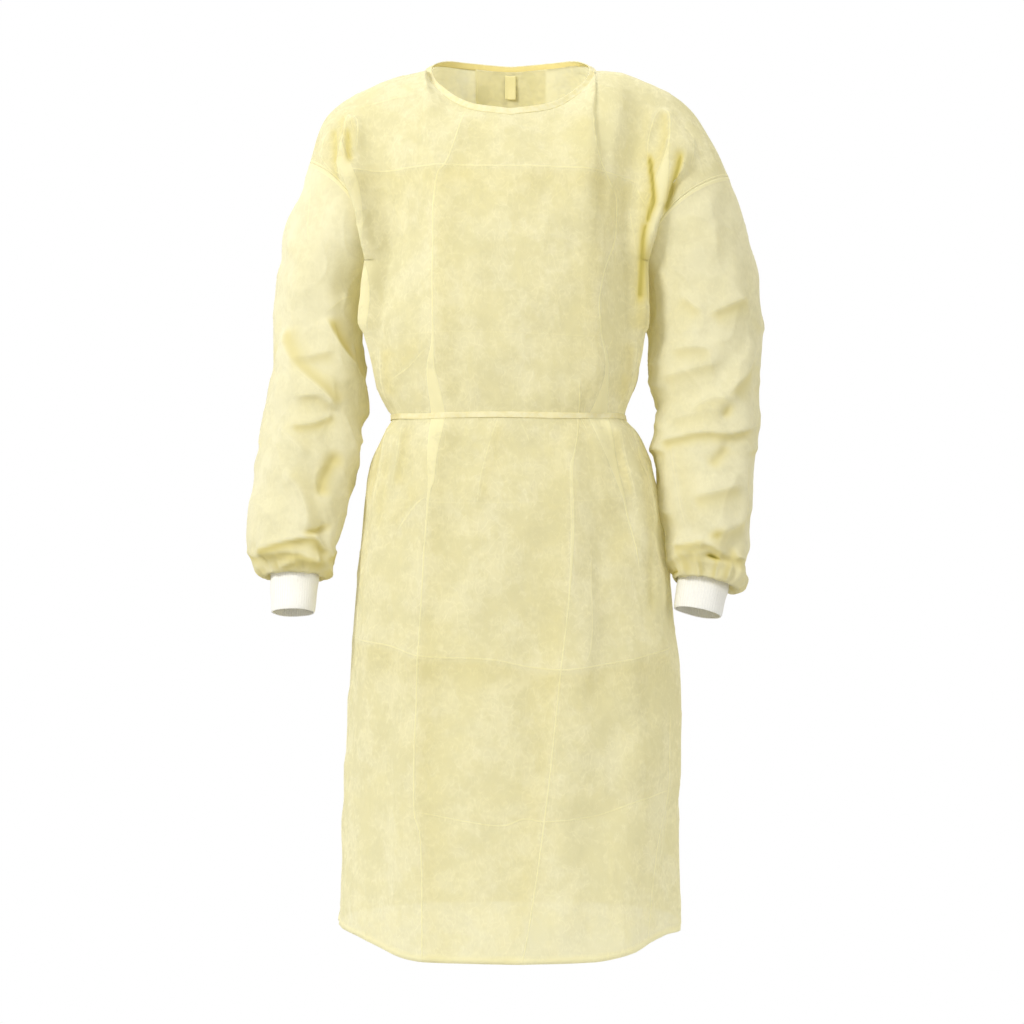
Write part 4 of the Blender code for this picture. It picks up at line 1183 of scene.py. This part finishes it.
def make_sleeve(name, side, wrinkles, other_wrinkles):
    """One sleeve in fine cloth, gathered at its end."""
    turns = np.arange(SLEEVE_COLUMNS) * 360 / SLEEVE_COLUMNS * -side
    plain = sleeve_grid(side, turns, UPPER_ROWS, LOWER_ROWS)
    rows = len(plain)
    row = np.arange(rows)[:, None] / (rows - 1)
    flat = plain[..., [0, 2]]
    facing = ease(plain[..., 1].mean(axis=1, keepdims=True) - plain[..., 1], -0.014, 0.014)
    creases = both_sides(crease_field(wrinkles, flat), crease_field(mirrored(other_wrinkles), flat), facing)
    swell = swells(plain, 0.070, 21 + side, (1, 1, 0.6)) * 0.0030
    fine = swells(plain, 0.033, 31 + side, (1, 1, 0.7)) * 0.0011
    crumple = np.exp(-np.abs(swells(plain, 0.050, 41 + side, (1, 1, 0.6))) / 0.10) * 0.0014
    outward = np.cos(np.radians(turns))[None, :]
    depth = plain[..., 1] - plain[..., 1].mean(axis=1, keepdims=True)
    unrolled = np.stack((side * SLEEVE_MIDDLE + depth * 0.9, plain[..., 2] + SIDE_STEP), -1)
    beside = crease_field(wrinkles, unrolled)
    at_side = ease(np.abs(outward), 0.72, 0.95)
    creases["lift"] = creases["lift"] * (1 - at_side) + beside["lift"] * at_side
    creases["deep"] = np.maximum(creases["deep"] * (1 - at_side), beside["deep"] * at_side * 0.7)
    calm = 1 - 0.60 * ease(outward, 0.75, 1.0) * ease(-plain[..., 2], 0.300, 0.360)
    calm = calm - 0.50 * ease(-outward, 0.80, 1.0) * ease(-plain[..., 2], 0.560, 0.600)
    # Painted shade: the yellow deepens towards the cuff, for the shade under the puff and the gathered
    # layers there.
    creases["deep"] = creases["deep"] + 0.20 * ease(-plain[..., 2], 0.590, 0.630)
    relief = (creases["lift"] + swell + fine + crumple) * calm
    relief = relief + gathers(side, plain, turns) * (0.5 + 0.5 * calm)
    doubled = np.broadcast_to(row <= 3.2 / (rows - 1), plain.shape[:2]).astype(float)
    lift = relief * ease(row, 0.03, 0.08) * (1 - ease(row, 0.965, 0.995))
    lift = lift + doubled * SEAM_RISE * (row > 0)
    points = plain + grid_normals(plain, True) * lift[..., None]
    bare = crease_field((), flat)
    # The sleeves take fainter fibres (0.12) and a denser, paler cloth (0.52, the body has 0): the denser
    # setting is painted light, which makes them brighter and less grey than the body.
    maps, numbers = cloth_numbers((bare, bare, creases), doubled, plain, 0.12, 0.52)
    piece = make_sheet(name, points, "nonwoven", CLOTH_THICKNESS, True, maps, numbers)
    return piece, sheet_size(points, True)


cloth_sleeve_right, sleeve_right_size = make_sleeve(
    "cloth_sleeve_right", RIGHT, RIGHT_WRINKLES, LEFT_WRINKLES)
cloth_sleeve_left, sleeve_left_size = make_sleeve(
    "cloth_sleeve_left", LEFT, LEFT_WRINKLES, RIGHT_WRINKLES)
print("sleeves: width, length, area", sleeve_right_size, sleeve_left_size)

# %% [markdown]
# The cuffs
#
# A cuff is a short tube of rib knit. It is drawn in at its top, where the gathered sleeve
# is sewn round it, and its lower rim is a soft rounded edge. Fine ribs run along it.

# %% Knitted cuffs
CUFF_COLUMNS = 216
CUFF_RIBS = 54
CUFF_WALL = 0.0013
RIB_HEIGHT = 0.00022
COURSE_LENGTH = 0.66


def make_cuff(name, side):
    """One cuff with ribs along it and a rounded lower rim."""
    turns = np.arange(CUFF_COLUMNS) * 360 / CUFF_COLUMNS * -side
    shares = np.concatenate((np.linspace(0, 0.94, 22), (0.965, 0.985, 1.0)))
    share, turn = np.meshgrid(shares, turns, indexing="ij")
    plain = cuff_ring(side, share, turn)
    ribs = RIB_HEIGHT * np.cos(np.radians(turn) * CUFF_RIBS)
    soft = 0.0007 * swells(plain, 0.035, 61 + side) * ease(share, 0.05, 0.3)
    rounding = -0.0006 * ease(share, 0.94, 1.0) - 0.0003 * (1 - ease(share, 0.0, 0.06))
    points = plain + grid_normals(plain, True) * (ribs + soft + rounding)[..., None]
    maps = {"cloth_map": (np.abs(turn) / 360 * CUFF_RIBS / WALES, share * COURSE_LENGTH)}
    piece = make_sheet(name, points, "knit", CUFF_WALL, closed=True, maps=maps)
    return piece, sheet_size(points, True)


knit_cuff_right, cuff_right_size = make_cuff("knit_cuff_right", RIGHT)
knit_cuff_left, cuff_left_size = make_cuff("knit_cuff_left", LEFT)
print("cuffs: width, length, area", cuff_right_size, cuff_left_size)

# %% [markdown]
# The tapes
#
# The neck is bound with a tape folded over the raw edge. It stands 6.6 mm above the edge and
# turns 2.6 mm over the cloth, and its two ends go on as the ties. The belt is a 7.5 mm tape
# of the same kind. Both are a small profile with a crowned face, carried along an edge.

# %% Neck binding
NECK_TAPE_WIDTH = 0.0066
NECK_TAPE_LEAN = 0.30
NECK_TAPE_CROWN = 0.0005
# Places across the tape in shares of its width: above the cloth's edge, and then over it.
NECK_SHARES = np.array((1.0, 0.95, 0.85, 0.6, 0.35, 0.12, -0.10, -0.30, -0.38, -0.40))
NECK_CROWN = np.array((0.0, 0.55, 0.9, 1.0, 1.0, 1.1, 1.4, 1.6, 1.2, 0.5)) * NECK_TAPE_CROWN


def tape_maps(line, offsets, width):
    """A map for a tape: metres along it and metres across it."""
    steps = np.linalg.norm(np.diff(line, axis=0), axis=-1)
    along = np.concatenate(([0], np.cumsum(steps)))
    return np.meshgrid(along, np.asarray(offsets) * width, indexing="xy")


def neck_cloth(turns, step=0.02):
    """The way outward over the cloth, square to the neck edge, at turns round it."""
    folded = (turns + 180) % 360 - 180
    ways = []
    for back in (False, True):
        share = np.sign(folded) * (180 - np.abs(folded) if back else np.abs(folded)) / 90 * NECK_SHARE
        ways.append(body_point(back, share, step) - body_point(back, share, 0.0))
    down = unit(np.where((np.abs(folded) > 90)[:, None], ways[1], ways[0]))
    edge = neck_point(turns)
    tangent = unit(np.roll(edge, -1, axis=0) - np.roll(edge, 1, axis=0))
    ridge = np.concatenate((unit(edge[:, :2]) * 0.97, np.full((len(turns), 1), -0.24)), axis=1)
    at_ridge = ease(np.abs(np.sin(np.radians(turns))), 0.80, 0.97)[:, None]
    way = down * (1 - at_ridge) + ridge * at_ridge
    return unit(way - tangent * (way * tangent).sum(axis=-1, keepdims=True))


turns = np.arange(0, 360, 360 / 288)
edge = neck_point(turns)
inward = NECK_TAPE_LEAN + 0.58 * ease(np.abs(np.sin(np.radians(turns))), 0.55, 1.0)[:, None]
lean = np.concatenate((-unit(edge[:, :2]) * inward, np.sqrt(1 - inward ** 2)), axis=1)
steps = NECK_SHARES[:, None, None] * NECK_TAPE_WIDTH
rows = edge[None] + np.where(steps > 0, lean[None] * steps, neck_cloth(turns)[None] * -steps)
pucker = 0.0002 * np.cos(np.radians(turns) * 61) * np.cos(np.radians(turns) * 7)
rows = rows + grid_normals(rows, True) * (NECK_CROWN[:, None, None] + pucker[None, :, None])
tape_neck = make_sheet("tape_neck_binding", rows, "tape", 0.0016, closed=True,
                       maps={"cloth_map": tape_maps(edge, 1 - NECK_SHARES, NECK_TAPE_WIDTH)})
print("neck binding: length round, width, area", sheet_size(rows, True))

# %% Belt
BELT_WIDTH = 0.0075
BELT_CLEAR = 0.0014
# Places across a tape in shares of its width, and how far its face is crowned there.
PROFILE = np.array((0.5, 0.46, 0.35, 0.12, -0.12, -0.35, -0.46, -0.5))
CROWN = np.array((0.0, 0.4, 0.8, 1.0, 1.0, 0.8, 0.4, 0.0)) * 0.0004
levels = level_at(BELT_HEIGHT + PROFILE * BELT_WIDTH)[:, None]
belt_front = body_point(False, np.linspace(-1, 1, 241)[None, :], levels)
belt_back = body_point(True, np.linspace(1, -1, 201)[None, 1:-1], levels)
rows = np.concatenate((belt_front, belt_back), axis=1)
wander = 0.0006 * np.sin(np.linspace(0, 2 * math.pi, rows.shape[1], endpoint=False) * 5)
rows = rows + grid_normals(rows, True) * (BELT_CLEAR + CROWN)[:, None, None]
rows[..., 2] += wander[None, :]
tape_belt = make_sheet("tape_belt", rows, "tape", 0.0009, closed=True,
                       maps={"cloth_map": tape_maps(rows[3], 0.5 - PROFILE, BELT_WIDTH)})
print("belt: length round, width, area", sheet_size(rows, True))

# %% Ties behind
# Two tails hang from each knot over the backs, along the same routes as in the CAD part.
#            share   level, down one tail, over the knot and down the other
NECK_TIE = ((-0.085, 0.80), (-0.070, 0.60), (-0.045, 0.38), (-0.020, 0.17), (0.0, 0.035),
            (0.022, 0.17), (0.050, 0.40), (0.060, 0.66))
BELT_TIE = ((-0.130, 1.56), (-0.105, 1.44), (-0.070, 1.34), (-0.030, 1.255), (0.0, 1.2240),
            (0.035, 1.26), (0.085, 1.37), (0.100, 1.50))
NEAR = 0.01
NECK_KNOT_LEVEL, BELT_KNOT_LEVEL = NECK_TIE[4][1], BELT_TIE[4][1]


def body_frame(share, level):
    """Points of the back with their outward directions."""
    point = body_point(True, share, level)
    across = body_point(True, share + NEAR, level) - body_point(True, share - NEAR, level)
    above = np.maximum(level - NEAR, 0.0)
    down = body_point(True, share, level + NEAR) - body_point(True, share, above)
    normal = np.cross(across, down)
    return point, unit(normal)


def make_tie(name, route, width, clear, curl):
    """A tape along its route over the backs, with a crowned face and slightly curled edges."""
    shares, levels = np.array(route).T
    at = np.linspace(0, 1, 180)
    knots = np.linspace(0, 1, len(route))
    middle, normal = body_frame(spline(knots, shares, at), spline(knots, levels, at))
    across = unit(np.cross(normal, np.gradient(middle, axis=0)))
    lift = clear + curl * (1 + np.sin(at * 31) * 0.5 + np.sin(at * 17 + 1) * 0.5) * 0.5
    rows = []
    for offset, bulge in zip(PROFILE, CROWN):
        edge_curl = 0.0006 * (2 * offset) ** 2 * np.sin(at * 23)
        rows.append(middle + normal * (lift + bulge + edge_curl)[:, None] + across * offset * width)
    rows = np.array(rows)
    maps = {"cloth_map": tape_maps(middle, 0.5 - PROFILE, width)}
    piece = make_sheet(name, rows, "tape", 0.0008, maps=maps, offset=1.0)
    return piece, sheet_size(rows)


tape_neck_tie, neck_tie_size = make_tie("tape_neck_tie", NECK_TIE, NECK_TAPE_WIDTH, 0.0009, 0.0016)
tape_belt_tie, belt_tie_size = make_tie("tape_belt_tie", BELT_TIE, BELT_WIDTH, 0.0022, 0.0018)
print("ties: length, width, area", neck_tie_size, belt_tie_size)

# %% [markdown]
# A knot is the tape's own turns, pulled flat. It is made here as a small flat pebble from
# rings of points. Waves in the rings show the turns of tape from every side, and the points
# that fall together at the two ends are merged.

# %% Knots
KNOT_SIZE = (0.016, 0.0065, 0.011)
KNOT_ROWS, KNOT_COLUMNS = 25, 96


def make_knot(name, level, clear, size):
    """A flat knot over the top of a tie, with its turns of tape."""
    middle, normal = body_frame(np.array(0.0), np.array(float(level)))
    place = middle + normal * (clear + size[1] / 2)
    turn = np.linspace(0, 2 * math.pi, KNOT_COLUMNS, endpoint=False)
    rows = []
    for step in np.linspace(-1, 1, KNOT_ROWS):
        girth = math.sqrt(max(1 - abs(step) ** 3.2, 0.0))
        wrap = 1 + 0.10 * np.cos(3 * (turn + step * 1.3)) + 0.07 * np.cos(9 * step + 1.5 * np.sin(turn))
        x = step * size[0] / 2 * np.ones_like(turn)
        y = np.cos(turn) * size[1] / 2 * girth * wrap
        z = np.sin(turn) * size[2] / 2 * girth * wrap
        rows.append(np.stack((x, y, z), -1))
    piece, _ = grid_piece(name, np.array(rows)[::-1] + place, True)
    bpy.ops.object.select_all(action="DESELECT")
    bpy.context.view_layer.objects.active = piece
    piece.select_set(True)
    bpy.ops.object.mode_set(mode="EDIT")
    bpy.ops.mesh.select_all(action="SELECT")
    bpy.ops.mesh.remove_doubles(threshold=1e-6)
    bpy.ops.mesh.normals_make_consistent(inside=False)
    bpy.ops.object.mode_set(mode="OBJECT")
    mesh = piece.data
    corners = np.zeros(len(mesh.loops), np.int32)
    mesh.loops.foreach_get("vertex_index", corners)
    spots = np.zeros(len(mesh.vertices) * 3)
    mesh.vertices.foreach_get("co", spots)
    spots = spots.reshape(-1, 3)[corners]
    add_map(mesh, "cloth_map", (spots[:, 2], np.abs(spots[:, 0])))
    mesh.materials.append(MATERIALS["tape"])
    return piece


tape_neck_knot = make_knot("tape_neck_knot", NECK_KNOT_LEVEL, 0.0027, KNOT_SIZE)
tape_belt_knot = make_knot("tape_belt_knot", BELT_KNOT_LEVEL, 0.0032, KNOT_SIZE)
print("knots:", len(tape_neck_knot.data.polygons), "faces each")

# %% [markdown]
# Inside the back of the neck is a small label. It carries nothing here. It is a thin patch
# with one loose lower edge that curls a little off the cloth.

# %% Blank label
LABEL_INSIDE = UNDERLAP_DEPTH + 0.0018
LABEL_HALF_WIDTH = 0.007
LABEL_SHARE = 0.03


def make_label():
    """A blank patch inside the back of the neck."""
    drop = neck_point(180)[2] - UNDERARM
    down = np.linspace(0.004, 0.034, 25)
    across = np.linspace(1, -1, 13)
    level, share = np.meshgrid(down / drop, across * LABEL_SHARE, indexing="ij")
    point, normal = body_frame(share, level)
    lift = LABEL_INSIDE + 0.0008 * ease(level * drop, 0.015, 0.034) * (1 + 0.5 * np.sin(share * 90))
    points = point - normal * lift[..., None]
    points[..., 0] = share / LABEL_SHARE * LABEL_HALF_WIDTH
    piece = make_sheet("label_blank", points, "label", CLOTH_THICKNESS)
    return piece, sheet_size(points)


label_blank, label_size = make_label()
print("label: width, length, area", label_size)

# %% [markdown]
# Tying the pieces to the frame
#
# Each piece of cloth takes the place of the solid that it dresses, and rides on the one
# body of the gown.

DRESSED = ((cloth_front, "front", "nonwoven"), (cloth_back_right, "back_right", "nonwoven"),
           (cloth_back_left, "back_left", "nonwoven"), (cloth_sleeve_right, "sleeve_right", "nonwoven"),
           (cloth_sleeve_left, "sleeve_left", "nonwoven"), (knit_cuff_right, "cuff_right", "knit"),
           (knit_cuff_left, "cuff_left", "knit"), (tape_neck, "neck_binding", "tape"),
           (tape_belt, "belt", "tape"), (tape_neck_tie, "neck_tie", "tape"),
           (tape_belt_tie, "belt_tie", "tape"), (label_blank, "neck_label", "label"),
           (tape_neck_knot, "neck_knot", "tape"), (tape_belt_knot, "belt_knot", "tape"))
for piece, cad_node, finish in DRESSED:
    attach(piece, "root")
    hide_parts(cad_node)
print("pieces on the root body:", len(DRESSED))

# %% [markdown]
# A tape narrower than a finger isn't cut as a panel, so the binding, the belt and the ties
# are trim of the panel that carries them, as the label is.

# %% Bring the scene up to date
bpy.context.view_layer.update()
